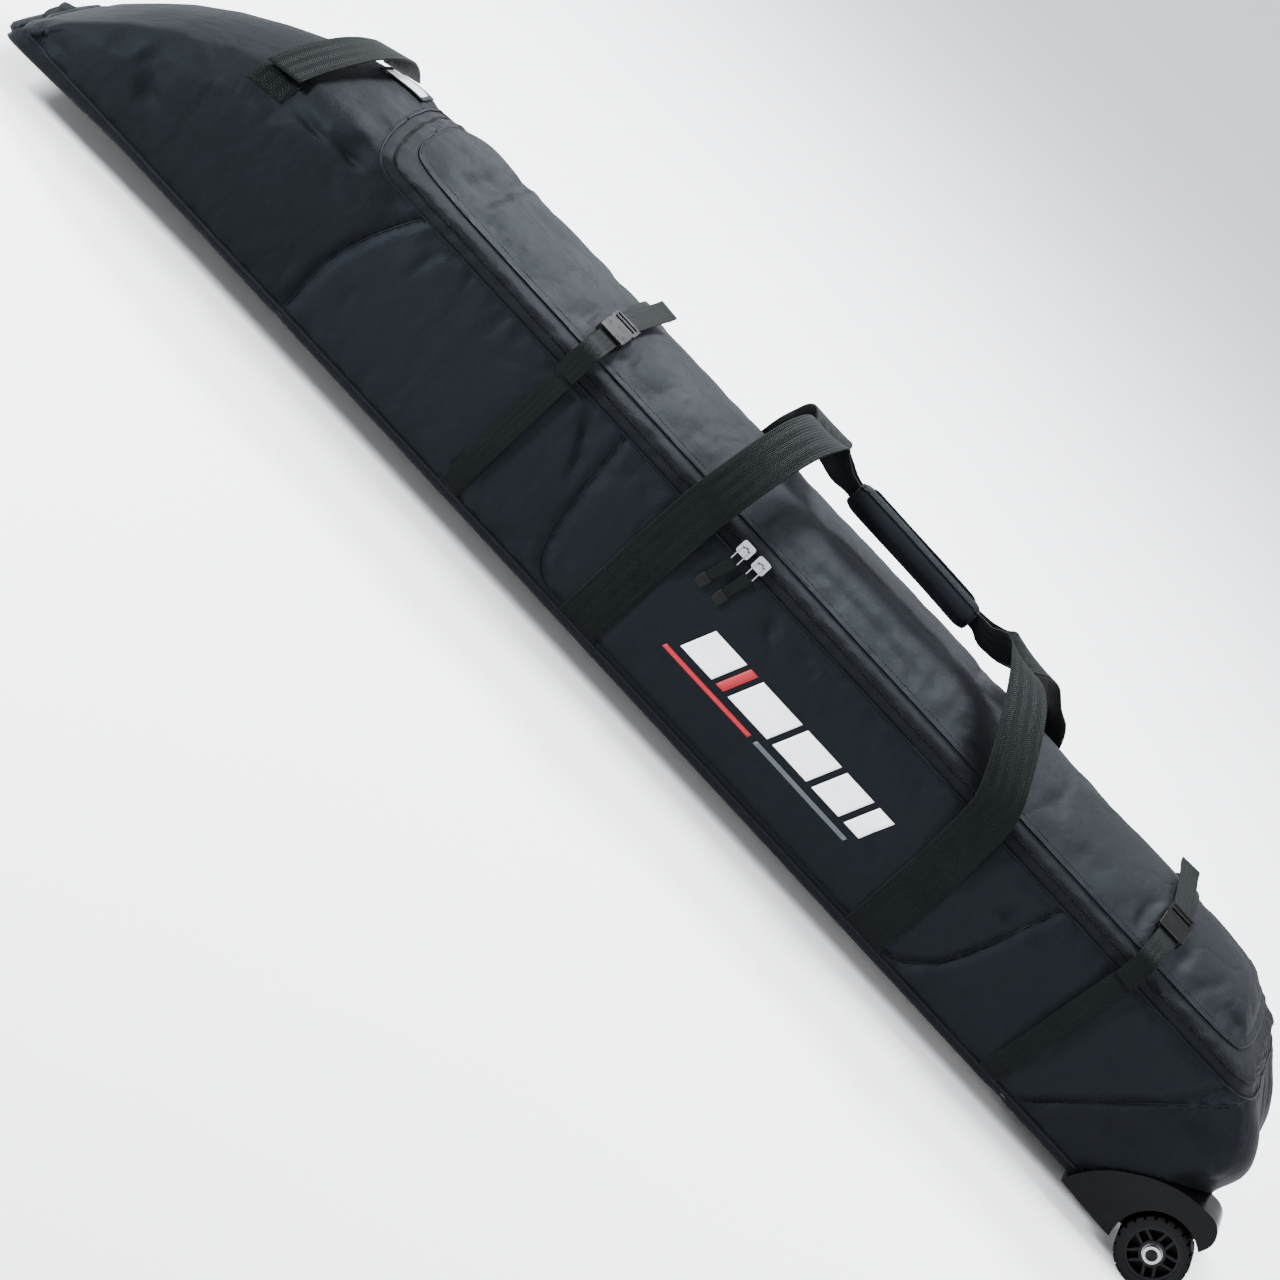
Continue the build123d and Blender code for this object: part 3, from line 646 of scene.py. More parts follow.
def half_ring(half, edge, crown):
    """The front half of a cross-section from the bottom centre to the crown, as (y, z)."""
    low = min(12.0, edge * 0.35)
    top = min(17.0, edge * 0.35)
    band = min(BAND_LOW, edge * 0.86)
    n_bottom, n_low, n_side, n_band, n_top, n_dome = COUNTS
    shoulder_y = half - top
    shoulder_z = crown - (crown - edge) * (shoulder_y / half) ** 2
    pts = [(-t * (half - low), 0.8) for t in np.linspace(0, 1, n_bottom, endpoint=False)]
    pts += [(-(half - low) - low * math.sin(a), 0.8 + low * (1 - math.cos(a)))
            for a in np.linspace(0, math.pi / 2, n_low, endpoint=False)]
    pts += [(-half, z) for z in np.linspace(low + 0.8, band, n_side, endpoint=False)]
    pts += [(-half, z) for z in np.linspace(band, max(band + 1, edge - top * 0.75), n_band, endpoint=False)]
    start = np.array([-half, max(band + 1, edge - top * 0.75)])
    corner, end = np.array([-half, edge + 1]), np.array([-shoulder_y, shoulder_z])
    for t in np.linspace(0, 1, n_top, endpoint=False):
        pts.append(tuple((1 - t) ** 2 * start + 2 * t * (1 - t) * corner + t * t * end))
    for t in np.linspace(0, 1, n_dome):
        y = -shoulder_y * (1 - t)
        pts.append((y, crown - (crown - edge) * (y / half) ** 2))
    return np.array(pts)


def shell_grid():
    """Rings along the bag, then the tail cap, as one closed form."""
    stations = np.concatenate([
        [NOSE_X + 0.3, NOSE_X + 2.5, NOSE_X + 6, NOSE_X + 11, NOSE_X + 17, NOSE_X + 24],
        np.arange(NOSE_X + 32, 794, 9.0), [802, 810, 818, 826, 833, 839.5, 845, 849.5, 852.5, TAIL_END]])
    rings = []
    for s in stations:
        w = smooth((s - TAIL_START) / (TAIL_END - TAIL_START))
        top_x = s + (tail_x(214) - TAIL_END) * w
        edge = np.interp(top_x, ROOF_X, ROOF_EDGE) - INSET
        crown = np.interp(top_x, ROOF_X, ROOF_CROWN) - INSET
        half = HALF - INSET
        from_nose = s - NOSE_X
        if from_nose < NOSE_ROUND:
            half -= NOSE_ROUND - math.sqrt(NOSE_ROUND ** 2 - (NOSE_ROUND - from_nose) ** 2)
        from_tail = TAIL_END - s
        if from_tail < TAIL_ROUND:
            half -= TAIL_ROUND - math.sqrt(max(0, TAIL_ROUND ** 2 - (TAIL_ROUND - from_tail) ** 2))
        front = half_ring(half, max(edge, 2.2), max(crown, 2.6))
        back = front[-2:0:-1] * (-1, 1)
        ring = np.vstack([front, back])
        x = s + (tail_x(ring[:, 1]) - INSET * w - TAIL_END) * w
        rings.append(np.column_stack([x, ring]))
    last = rings[-1]
    for k in (0.9, 0.76, 0.6, 0.42, 0.24, 0.08):
        z = CAP_Z + (last[:, 2] - CAP_Z) * k
        rings.append(np.column_stack([tail_x(z) - INSET + 1.5 * (1 - k), last[:, 1] * k, z]))
    n = len(rings[0])
    faces = ring_faces(len(rings), n, inward=True)
    # the flat nose end and the middle of the tail cap
    m = (n + 2) // 2
    for j in range(m - 1):
        a, b, c, d = j, j + 1, (n - j - 1) % n, (n - j) % n
        quad = (a, b, c) if d == a else ((a, b, d) if b == c else (a, b, c, d))
        faces.append(quad)
        last_start = (len(rings) - 1) * n
        faces.append(tuple(last_start + i for i in quad[::-1]))
    return np.vstack(rings), faces


def seam_distance(p):
    """Distance to the nearest seam that holds the padding in."""
    side = np.abs(p[:, 1]) > SIDE_Y
    out = np.minimum(np.abs(below_band(p)), np.abs(above_band(p)))
    out = np.minimum(out, np.where(side, np.abs(p[:, 2] - PAN), 99))
    out = np.minimum(out, np.abs(nose_field(p)))
    below = side & (p[:, 2] < BAND_LOW + 4)
    out = np.minimum(out, np.where(below, np.abs(pocket_field(p)), 99))
    return np.minimum(out, np.where(below, np.abs(tail_field(p)), 99))


# folds and hollows on the front side: (x, z) points, half width, height; negative heights are hollows
FOLDS = [
    ([(-560, 176), (-520, 158), (-492, 136)], 9, 3.0), ([(-540, 152), (-500, 135)], 8, -3.0),
    ([(-610, 168), (-545, 172), (-500, 180)], 7, -3.0),
    ([(-452, 96), (-447, 60), (-446, 24)], 9, 3.2), ([(-430, 96), (-424, 50)], 9, -2.6),
    ([(-381, 184), (-383, 140), (-380, 112)], 9, 3.4), ([(-398, 178), (-400, 130)], 8, -2.8),
    ([(-180, 182), (-150, 140), (-135, 100)], 8, -3.2), ([(-200, 165), (-245, 125), (-285, 108)], 9, 3.2),
    ([(-240, 172), (-290, 142), (-330, 132)], 8, -2.6), ([(-196, 178), (-170, 150), (-158, 120)], 7, 3.0),
    ([(-212, 60), (-238, 34)], 8, -2.6), ([(-206, 60), (-182, 34)], 8, -2.4),
    ([(95, 176), (122, 150), (138, 124)], 8, -3.0), ([(112, 178), (140, 152), (154, 130)], 7, 2.6),
    ([(168, 176), (168, 150)], 7, -2.6), ([(162, 182), (190, 152), (206, 136)], 8, 2.8),
    ([(228, 176), (300, 158), (350, 128)], 10, 2.6), ([(20, 60), (90, 50), (180, 58)], 12, 2.0),
    ([(360, 70), (330, 100), (300, 108)], 9, -2.4), ([(425, 176), (470, 168), (520, 178)], 9, 3.0),
    ([(430, 150), (480, 144), (540, 156)], 9, -2.6), ([(560, 176), (548, 130), (520, 90)], 10, 2.6),
    ([(620, 168), (640, 130), (690, 110)], 10, -2.4), ([(640, 178), (700, 170), (752, 176)], 9, 2.4),
    ([(700, 60), (730, 82), (790, 96)], 10, -3.0), ([(760, 110), (800, 120), (838, 116)], 12, 2.6),
    ([(-700, 110), (-640, 100), (-560, 110)], 14, 2.4), ([(-760, 62), (-690, 70), (-600, 64)], 14, -2.4),
    ([(-640, 40), (-560, 48), (-490, 40)], 12, 2.0), ([(-330, 60), (-280, 74), (-230, 66)], 12, 2.2),
    ([(-60, 150), (-40, 120), (-50, 80)], 12, -2.2), ([(-100, 100), (-60, 70), (-20, 60)], 12, 2.0),
]
# creases over the lid: ((x, y) points, half width, height)
LID_FOLDS = [
    ([(-505, -60), (-500, 0), (-498, 70)], 12, 2.4), ([(-440, -110), (-420, -40), (-425, 40)], 16, -2.0),
    ([(-200, -125), (-188, -90), (-196, -50)], 9, -3.0), ([(-242, -125), (-252, -85), (-244, -45)], 9, -2.6),
    ([(580, -125), (572, -85), (584, -40)], 9, -2.8), ([(628, -125), (640, -85), (626, -40)], 9, -2.6),
    ([(-340, -40), (-280, -20), (-160, -36)], 18, 1.6), ([(-60, 60), (60, 40), (200, 66)], 24, 1.6),
    ([(300, -70), (420, -50), (540, -76)], 20, 1.6), ([(690, -60), (720, 0), (700, 70)], 18, -2.0),
    ([(640, 60), (700, 84), (760, 60)], 16, 1.8), ([(380, 90), (460, 70), (560, 96)], 18, -1.8),
    ([(-380, 90), (-260, 70), (-120, 96)], 18, -1.8), ([(60, -110), (160, -96), (260, -112)], 14, -1.6),
    ([(-640, -60), (-650, 0), (-642, 70)], 14, -2.0), ([(-700, -40), (-712, 10), (-700, 60)], 14, 2.0),
]


def fold_height(a, b, folds):
    """Sum of the folds at points (a, b): a rounded ridge or hollow that fades at both ends."""
    total = np.zeros(len(a))
    for line, width, height in folds:
        pts = resample(np.column_stack([np.array(line, float), np.zeros(len(line))]), 6, 6)[:, :2]
        nearest, where = np.full(len(a), 1e9), np.zeros(len(a))
        for i in range(len(pts) - 1):
            d = pts[i + 1] - pts[i]
            t = np.clip(((a - pts[i][0]) * d[0] + (b - pts[i][1]) * d[1]) / (d @ d), 0, 1)
            dist = np.hypot(a - pts[i][0] - t * d[0], b - pts[i][1] - t * d[1])
            closer = dist < nearest
            nearest = np.where(closer, dist, nearest)
            where = np.where(closer, (i + t) / (len(pts) - 1), where)
        fade = smooth(np.minimum(where, 1 - where) / 0.3) * 0.8 + 0.2
        total += height * fade * np.exp(-(nearest / width) ** 2 * 1.6)
    return total


def wrinkle_noise(p, scale, seed):
    """Smooth pseudo-random field, stretched so that creases lean across the sides."""
    waves = 14
    out = np.zeros(len(p))
    local = np.random.default_rng(seed)
    for _ in range(waves):
        direction = local.normal(size=3) * (1.0, 0.55, 0.8)
        direction /= np.linalg.norm(direction)
        wavelength = scale * local.uniform(0.6, 1.7)
        out += np.sin(p @ direction * 2 * math.pi / wavelength + local.uniform(0, 6.28))
    return out / waves ** 0.5


CLOTH_FRAMES = 22
SWELL = 9.0             # the furthest the cloth simulation may carry a point


def pad_with_cloth(verts, faces):
    """Blow the shell up softly between its seams with a cloth simulation, and cap how far a point moves."""
    obj = new_object("shell_sim", verts, faces, [])
    group = obj.vertex_groups.new(name="pin")
    on_seam, on_floor = seam_distance(verts) < 5.5, verts[:, 2] < 3.0
    group.add(np.nonzero(on_seam | on_floor)[0].tolist(), 1.0, "REPLACE")
    cloth = obj.modifiers.new("Cloth", "CLOTH")
    s = cloth.settings
    s.vertex_group_mass = "pin"
    s.pin_stiffness = 1.0
    s.quality = 6
    s.mass = 0.25
    s.tension_stiffness, s.compression_stiffness, s.shear_stiffness, s.bending_stiffness = 18, 12, 6, 0.35
    s.shrink_min = -0.030
    s.use_pressure = True
    s.uniform_pressure_force = 5.0
    s.effector_weights.gravity = 0.0
    cloth.point_cache.frame_start, cloth.point_cache.frame_end = 1, CLOTH_FRAMES
    for f in range(1, CLOTH_FRAMES + 1):
        bpy.context.scene.frame_set(f)
    moved, _ = settled(obj)
    bpy.context.scene.frame_set(1)
    bpy.data.objects.remove(obj, do_unlink=True)
    shift = moved - verts
    length = np.linalg.norm(shift, axis=1, keepdims=True)
    return verts + shift * np.minimum(1, SWELL / np.maximum(length, 1e-6))


NOSE_DROOP = 9.0        # how far the empty nose sinks at its tip


def nose_droop(x):
    return NOSE_DROOP * smooth((-650 - x) / 225) ** 1.2


def build_shell():
    verts, faces = shell_grid()
    normals = vertex_normals(verts, faces)
    if (normals[:, 2][verts[:, 2] > 180]).mean() < 0:
        faces = [f[::-1] for f in faces]
        normals = -normals
    away = seam_distance(verts)
    # seams sit a little in, and each panel starts with shallow creases for the cloth to grow from
    verts = verts - normals * (1.2 * np.exp(-(away / 8.0) ** 2))[:, None]
    start = wrinkle_noise(verts, 120, 3) * 2.2 * smooth((away - 6) / 25)
    verts = verts + normals * (start * (verts[:, 2] > 4))[:, None]
    verts = pad_with_cloth(verts, faces)
    # one smoothing subdivision, then the particular folds
    obj = new_object("shell_smooth", verts, faces, [])
    sub = obj.modifiers.new("Subsurf", "SUBSURF")
    sub.levels = sub.render_levels = 1
    verts, faces = settled(obj)
    bpy.data.objects.remove(obj, do_unlink=True)
    normals = vertex_normals(verts, faces)
    away = seam_distance(verts)
    free = smooth((away - 3) / 14)
    side = smooth((np.abs(normals[:, 1]) - 0.5) / 0.3)
    up = smooth((normals[:, 2] - 0.5) / 0.3)
    back = verts[:, 1] > 0
    mirrored_x = np.where(back, -verts[:, 0] + 60, verts[:, 0])
    lift = 2.1 * side * free * fold_height(mirrored_x, verts[:, 2], FOLDS)
    lift += 2.0 * up * free * fold_height(verts[:, 0], verts[:, 1], LID_FOLDS)
    grooved = np.min([np.abs(field(verts)) for field in (nose_field, pocket_field, tail_field)], axis=0)
    on_the_side = (np.abs(verts[:, 1]) > SIDE_Y) & (verts[:, 2] > PAN + 4) & (verts[:, 2] < BAND_LOW)
    grooved = np.where(on_the_side, grooved, 99)
    lift -= side * (2.6 * np.exp(-(grooved / 4.0) ** 2) - 1.8 * np.exp(-((grooved - 12) / 7.0) ** 2))
    small = wrinkle_noise(verts, 46, 11) * 0.4 + wrinkle_noise(verts, 85, 5) * 0.8
    lift += small * free * (verts[:, 2] > 6)
    # little puckers along the seams
    pucker = np.exp(-((away - 7) / 6) ** 2) * np.sin(verts[:, 0] / 5.3 + 2.4 * np.sin(verts[:, 0] / 31.0))
    lift += 0.45 * pucker * (side + up)
    verts = verts + normals * lift[:, None]
    # padding swells softly towards the CAD envelope and never through it, so it stays under the straps
    beyond = np.abs(verts[:, 1]) - (HALF - INSET)
    eased = np.sign(verts[:, 1]) * (HALF - INSET + PROUD * np.tanh(beyond / PROUD))
    verts[:, 1] = np.where(beyond > 0, eased, verts[:, 1])
    verts[:, 2] = np.clip(verts[:, 2], 0.5, None)
    inner_roof = roof(verts[:, 0], verts[:, 1]) - INSET
    beyond = verts[:, 2] - inner_roof
    swollen = (beyond > 0) & (inner_roof > 12)
    verts[:, 2] = np.where(swollen, inner_roof + PROUD * np.tanh(beyond / PROUD), verts[:, 2])
    limit = np.where(verts[:, 2] > 10, tail_x(verts[:, 2]) - 0.4, TAIL_FOOT)
    verts[:, 0] = np.minimum(verts[:, 0], limit)
    verts[:, 2] -= nose_droop(verts[:, 0])
    drawn_in = 9 * smooth((verts[:, 2] - 42) / 60) + 27 * smooth((verts[:, 2] - 120) / 75)
    verts[:, 0] -= drawn_in * smooth((verts[:, 0] - 640) / 212)
    verts[:, 1] *= 1 - 0.13 * smooth((verts[:, 0] - 760) / 90) * smooth((verts[:, 2] - 120) / 80)
    return verts, faces


SKIN, SKIN_FACES = build_shell()
SKIN_TREE = BVHTree.FromPolygons([tuple(v) for v in SKIN], SKIN_FACES)


def skin_normal(p):
    hit = SKIN_TREE.find_nearest(Vector(p))
    return np.array(hit[1])


def side_y(x, z, sign=-1):
    """How far out the shell's side is at (x, z)."""
    hit = SKIN_TREE.ray_cast(Vector((x, sign * 400, z)), Vector((0, -sign, 0)))[0]
    return hit.y if hit else sign * (HALF - 2)


def top_z(x, y):
    hit = SKIN_TREE.ray_cast(Vector((x, y, 500)), Vector((0, 0, -1)))[0]
    return hit.z if hit else roof(x, y)


# ---------------------------------------------------------------- cutting the shell into its sewn panels
PANEL_THICK = 4.6
SEAM_HALF = 0.7


def with_lining(obj, thick=PANEL_THICK):
    """Give a cloth panel its padding and an inner face of lining."""
    solid = obj.modifiers.new("Padding", "SOLIDIFY")
    solid.thickness = thick * MM
    solid.offset = -1.0
    solid.use_rim = True
    solid.material_offset = 1
    solid.material_offset_rim = 0
    return obj


def split(verts, faces, field):
    """Both sides of a seam, each stopping a little short of it."""
    return clip(verts, faces, field, SEAM_HALF), clip(verts, faces, lambda p: -field(p), SEAM_HALF)


def front_half(verts, faces):
    """Faces on the front side, and the rest."""
    front = [f for f in faces if verts[f[0]][1] < 0]
    return (verts, front), (verts, [f for f in faces if verts[f[0]][1] >= 0])


base_skin = clip(*clip(SKIN, SKIN_FACES, outside_well), below_band)
lid_skin = clip(SKIN, SKIN_FACES, above_band)
upper_skin, pan_skin = split(*base_skin, pan_field)
rest_skin, nose_skin = split(*upper_skin, nose_field)
tail_skin, rest_skin = split(*rest_skin, tail_field)
pocket_skin, rest_skin = split(*rest_skin, pocket_field)
front_skin, back_skin = front_half(*rest_skin)
pocket_front_skin, pocket_back_skin = front_half(*pocket_skin)

# the nose and tail panels take the shell cloth darkened with painted shade; the other panels take their own
# cloth
for name, skin, mat, slot, node in (
        ("bottom", pan_skin, "pan", "base_fabric", "bottom_panel"),
        ("nose", nose_skin, "nose", "shell_fabric", "nose_shell"),
        ("tail", tail_skin, "tail", "shell_fabric", "tail_shell"),
        ("front", front_skin, "shell", "shell_fabric", "front_panel"),
        ("back", back_skin, "shell", "shell_fabric", "back_panel"),
        ("pocket_front", pocket_front_skin, "shell", "reinforcement_fabric", "front_reinforcement"),
        ("pocket_back", pocket_back_skin, "shell", "reinforcement_fabric", "back_reinforcement"),
        ("lid", lid_skin, "lid", "shell_fabric", "lid_panel")):
    panel = new_object(f"panel_{name}", *compact(*skin), [M[mat], M["lining"]])
    finish_piece(with_lining(panel), "lid" if name == "lid" else "base", slot, node)


# ---------------------------------------------------------------- seams: piping, stitches, zip
def on_skin(line, step=4.0, lift=0.0):
    """An even line on the shell with its normals."""
    pts = resample(line, step)
    normals = np.array([skin_normal(p) for p in pts])
    for _ in range(4):
        normals[1:-1] = (normals[:-2] + 2 * normals[1:-1] + normals[2:]) / 4
    normals /= np.linalg.norm(normals, axis=1, keepdims=True)
    return pts + normals * lift, normals


def not_in_well(p):
    return p[0] < 712 or abs(p[1]) < WELL_Y or p[2] > 92 or outside_well(np.array([p]))[0] > -2


def piping(name, curves, radius, lift, body, slot, *nodes):
    chunks = [tube_data(on_skin(c, 4.0, lift)[0], radius, 10) for c in curves]
    chunk_piece(name, chunks, "piping", body, slot, *nodes)


def stitched(name, curves, body):
    chunks = []
    for c in curves:
        chunks += stitch_chunks(*on_skin(c, 4.0, 0.15), 4.2, 3.0, 0.9)
    chunk_piece(name, chunks, "thread", body, "shell_fabric")


def shell_curves(field, level=0.0, keep=None):
    return iso_curves(SKIN, SKIN_FACES, field, level, keep)


def below_zip(p):
    return zip_field(np.array([p]))[0] < -ZIP_HALF + 0.5 and not_in_well(p)


def above_pan(p):
    return below_zip(p) and p[2] > PAN - 0.5


def on_side(p):
    return abs(p[1]) > SIDE_Y and above_pan(p)


def front_of_hinge(p, margin=12):
    return p[1] < HINGE_Y - margin


piping("piping_bottom", shell_curves(pan_field, 0, not_in_well), 1.9, 0.4, "base", "piping", "seam_piping")
piping("piping_zip_lower", shell_curves(below_band, 0, not_in_well), 1.25, 0.1, "base", "piping")
piping("piping_zip_upper", shell_curves(above_band), 1.0, -0.1, "lid", "piping")
for name, field, keep in (("nose_seam", nose_field, above_pan), ("pocket", pocket_field, on_side),
                          ("tail", tail_field, on_side)):
    piping(f"welt_{name}", shell_curves(field, 0, keep), 1.0, -0.2, "base", "shell_fabric")

sewn = shell_curves(below_band, 3.4, lambda p: not_in_well(p) and front_of_hinge(p))
for field, away in ((nose_field, 3.0), (pocket_field, -3.0), (pocket_field, 3.0), (tail_field, 3.2),
                    (tail_field, -3.2)):
    sewn += shell_curves(field, away, on_side)
stitched("stitches_base", sewn + shell_curves(pan_field, 4.2, not_in_well), "base")
stitched("stitches_lid", shell_curves(above_band, 3.4, front_of_hinge), "lid")


def zip_tape(name, side, body, node):
    """Half of the zip's woven tape, set in under the edge of the fabric."""
    def field(p):
        return np.minimum(side * zip_field(p) - 0.9, ZIP_HALF - 0.2 - side * zip_field(p))
    verts, faces = clip(*clip(SKIN, SKIN_FACES, field), lambda p: HINGE_Y - p[:, 1])
    normals = np.array([skin_normal(v) for v in verts])
    away = np.abs(zip_field(verts))
    drop = 1.0 + 0.5 * np.exp(-(away / 3.0) ** 2) - 0.3 * np.exp(-((away - 7.5) / 1.2) ** 2)
    verts = verts - normals * drop[:, None]
    tape = new_object(name, verts, faces, [M["tape"]])
    solid = tape.modifiers.new("Weave", "SOLIDIFY")
    solid.thickness, solid.offset = 0.9 * MM, -1.0
    finish_piece(tape, body, "zip_tape", node)


zip_tape("zip_tape_below", -1, "base", "zip_tape_lower")
zip_tape("zip_tape_above", 1, "lid", "zip_tape_upper")

teeth_line = max(shell_curves(zip_field, 0, lambda p: front_of_hinge(p, 2)), key=len)
tooth_at, tooth_up = on_skin(teeth_line, 2.6, -0.9)
tooth_along = np.gradient(tooth_at, axis=0)
tooth_along /= np.linalg.norm(tooth_along, axis=1, keepdims=True)
tooth_side = np.cross(tooth_along, tooth_up)
tooth_side *= np.sign((zip_field(tooth_at + tooth_side) - zip_field(tooth_at - tooth_side)))[:, None]


def tooth(centre, along, side, up, reach):
    """One turn of the nylon coil: a rounded bar across the tape with a raised head."""
    verts = []
    for s, w, h0, h1 in ((0.05, 0.5, -0.5, 0.5), (0.3, 0.8, -0.6, 0.85), (0.9, 0.55, -0.6, 0.6),
                         (1.0, 0.35, -0.5, 0.1)):
        c = centre + side * s * reach
        foot, head = along * w, along * w * 0.6
        verts += [c - foot + up * h0, c + foot + up * h0, c + head + up * h1, c - head + up * h1]
    return verts, ring_faces(4, 4) + [(3, 2, 1, 0), (12, 13, 14, 15)]


for name, way, body, node, shift in (("zip_teeth_below", -1, "base", "zip_coil_lower", 0),
                                     ("zip_teeth_above", 1, "lid", "zip_coil_upper", 1)):
    chunks = []
    for i in range(1, len(tooth_at) - 1):
        c = tooth_at[i] + tooth_along[i] * 1.3 * shift
        chunks.append(tooth(c, tooth_along[i], tooth_side[i] * way, tooth_up[i], 1.7))
    chunk_piece(name, chunks, "teeth", body, "zip_coil", node)


# ---------------------------------------------------------------- webbing
STRAP_WIDTH, LEG_WIDTH, HANDLE_WIDTH = 25.0, 50.0, 46.0
SHEET_STEP = 4.0        # grid spacing of cloth laid on the shell


def spline(rows, step=5.0):
    """Catmull-Rom through rows of numbers; the first three are the place."""
    rows = np.array(rows, float)
    extended = np.vstack([2 * rows[0] - rows[1], rows, 2 * rows[-1] - rows[-2]])
    out = []
    for i in range(1, len(extended) - 2):
        p0, p1, p2, p3 = extended[i - 1:i + 3]
        count = max(2, int(np.linalg.norm((p2 - p1)[:3]) / step))
        for t in np.linspace(0, 1, count, endpoint=False):
            out.append(0.5 * (2 * p1 + (p2 - p0) * t + (2 * p0 - 5 * p1 + 4 * p2 - p3) * t * t
                              + (3 * p1 - p0 - 3 * p2 + p3) * t ** 3))
    out.append(rows[-1])
    return np.array(out)


PROFILE = [(-1, 0.1), (-0.985, 0.75), (-0.94, 1), (-0.5, 1), (0, 1), (0.5, 1), (0.94, 1), (0.985, 0.75),
           (1, 0.1)]
PROFILE += [(u, -h) for u, h in PROFILE[::-1]]


def add_uv(mesh, uv):
    layer = mesh.uv_layers.new(name="weave")
    index = np.empty(len(mesh.loops), int)
    mesh.loops.foreach_get("vertex_index", index)
    layer.data.foreach_set("uv", np.asarray(uv)[index].astype(np.float32).ravel())


def ribbon(name, rows, mat, width=STRAP_WIDTH, step=5.0):
    """Flat webbing. A row is (x, y, z) or (x, y, z, across x, y, z, width, thickness)."""
    rows = [tuple(r) + (1, 0, 0, width, 1.6) if len(r) == 3 else tuple(r) for r in rows]
    path = spline(rows, step)
    place = path[:, :3]
    tangents = np.gradient(place, axis=0)
    tangents /= np.linalg.norm(tangents, axis=1, keepdims=True)
    along = np.concatenate([[0], np.cumsum(np.linalg.norm(np.diff(place, axis=0), axis=1))])
    verts, uv, n = [], [], len(PROFILE)
    for i, row in enumerate(path):
        t = tangents[i]
        side = row[3:6] - t * (row[3:6] @ t)
        side /= np.linalg.norm(side)
        normal = np.cross(t, side)
        for u, h in PROFILE:
            verts.append(place[i] + side * u * row[6] / 2 + normal * h * row[7] / 2)
            uv.append(((u + 1) / 2, along[i] * MM))
    faces = ring_faces(len(path), n, inward=True)
    half = n // 2
    for start, flip in ((0, False), ((len(path) - 1) * n, True)):
        for k in range(half - 1):
            quad = (start + k, start + k + 1, start + n - 2 - k, start + n - 1 - k)
            faces.append(quad if not flip else quad[::-1])
    obj = new_object(name, verts, faces, [M[mat]])
    add_uv(obj.data, uv)
    return obj


def patch(name, mat, to_place, u_range, v_range, lift, thick):
    """Flat cloth laid on the shell: to_place(u, v) gives a point and an outward direction on the surface."""
    us, vs = [np.linspace(*span, max(3, int(abs(span[1] - span[0]) / SHEET_STEP) + 1))
              for span in (u_range, v_range)]
    grid = np.array([[np.concatenate(to_place(u, v)) for u in us] for v in vs])
    place, out = grid[..., :3], grid[..., 3:]
    for _ in range(2):
        place[1:-1] = (place[:-2] + 2 * place[1:-1] + place[2:]) / 4
    place = place + out * (lift + thick)
    uv = [((u - us[0]) / (us[-1] - us[0]), v * MM) for v in vs for u in us]
    faces = grid_faces(len(us), len(vs))
    verts = place.reshape(-1, 3)
    if (vertex_normals(verts, faces)[0] @ out.reshape(-1, 3)[0]) < 0:
        faces = [f[::-1] for f in faces]
    obj = new_object(name, verts, faces, [M[mat]])
    add_uv(obj.data, uv)
    solid = obj.modifiers.new("Thickness", "SOLIDIFY")
    solid.thickness, solid.offset = thick * MM, -1.0
    return obj


def side_place(sign, lean=0.0, z0=0.0):
    """Places for a strip that runs up the side: u along X, v up."""
    def place(u, v):
        x = u + lean * (v - z0)
        return np.array([x, side_y(x, v, sign), v]), np.array([0.0, sign, 0.0])
    return place


def top_place(u, v):
    return np.array([u, v, top_z(u, v)]), np.array([0.0, 0.0, 1.0])


def box_stitch(to_place, u0, u1, v0, v1, lift, cross=True):
    """Stitches round a rectangle of webbing, with a cross in it."""
    corners = [(u0, v0), (u1, v0), (u1, v1), (u0, v1), (u0, v0)]
    lines = [corners] + ([[(u0, v0), (u1, v1)], [(u1, v0), (u0, v1)]] if cross else [])
    chunks = []
    for line in lines:
        for (a, b), (c, d) in zip(line, line[1:]):
            count = max(3, int(math.hypot(c - a, d - b) / 4) + 1)
            made = [to_place(a + (c - a) * t, b + (d - b) * t) for t in np.linspace(0, 1, count)]
            pts = np.array([p + n * lift for p, n in made])
            chunks += stitch_chunks(pts, np.array([n for _, n in made]), 3.6, 2.6, 0.8)
    return chunks


base_stitches = []

# carry handles: the sewn legs, then the free loops
leg_low, leg_high = box_mm("carry_legs_front")
LEFT, RIGHT = leg_low[0] + LEG_WIDTH / 2, leg_high[0] - LEG_WIDTH / 2
SEWN_TOP, FOOT = leg_high[2], leg_low[2]
for sign, side in ((-1, "front"), (1, "back")):
    for x, end in ((LEFT, "nose"), (RIGHT, "tail")):
        place = side_place(sign)
        leg = patch(f"carry_leg_{side}_{end}", "handle", place, (x - LEG_WIDTH / 2, x + LEG_WIDTH / 2),
                    (FOOT - 2, SEWN_TOP + 1), 0.4, 1.5)
        finish_piece(leg, "base", "webbing", f"carry_legs_{side}")
        base_stitches += box_stitch(place, x - 21, x + 21, SEWN_TOP - 42, SEWN_TOP - 4, 2.0)
        for edge in (-1, 1):
            base_stitches += box_stitch(place, x + edge * 22, x + edge * 22.1, FOOT + 4, SEWN_TOP - 44, 2.0,
                                        False)

grip_low, grip_high = box_mm("grip_pad")
G0, G1, GRIP_Z = grip_low[0], grip_high[0], (grip_low[2] + grip_high[2]) / 2


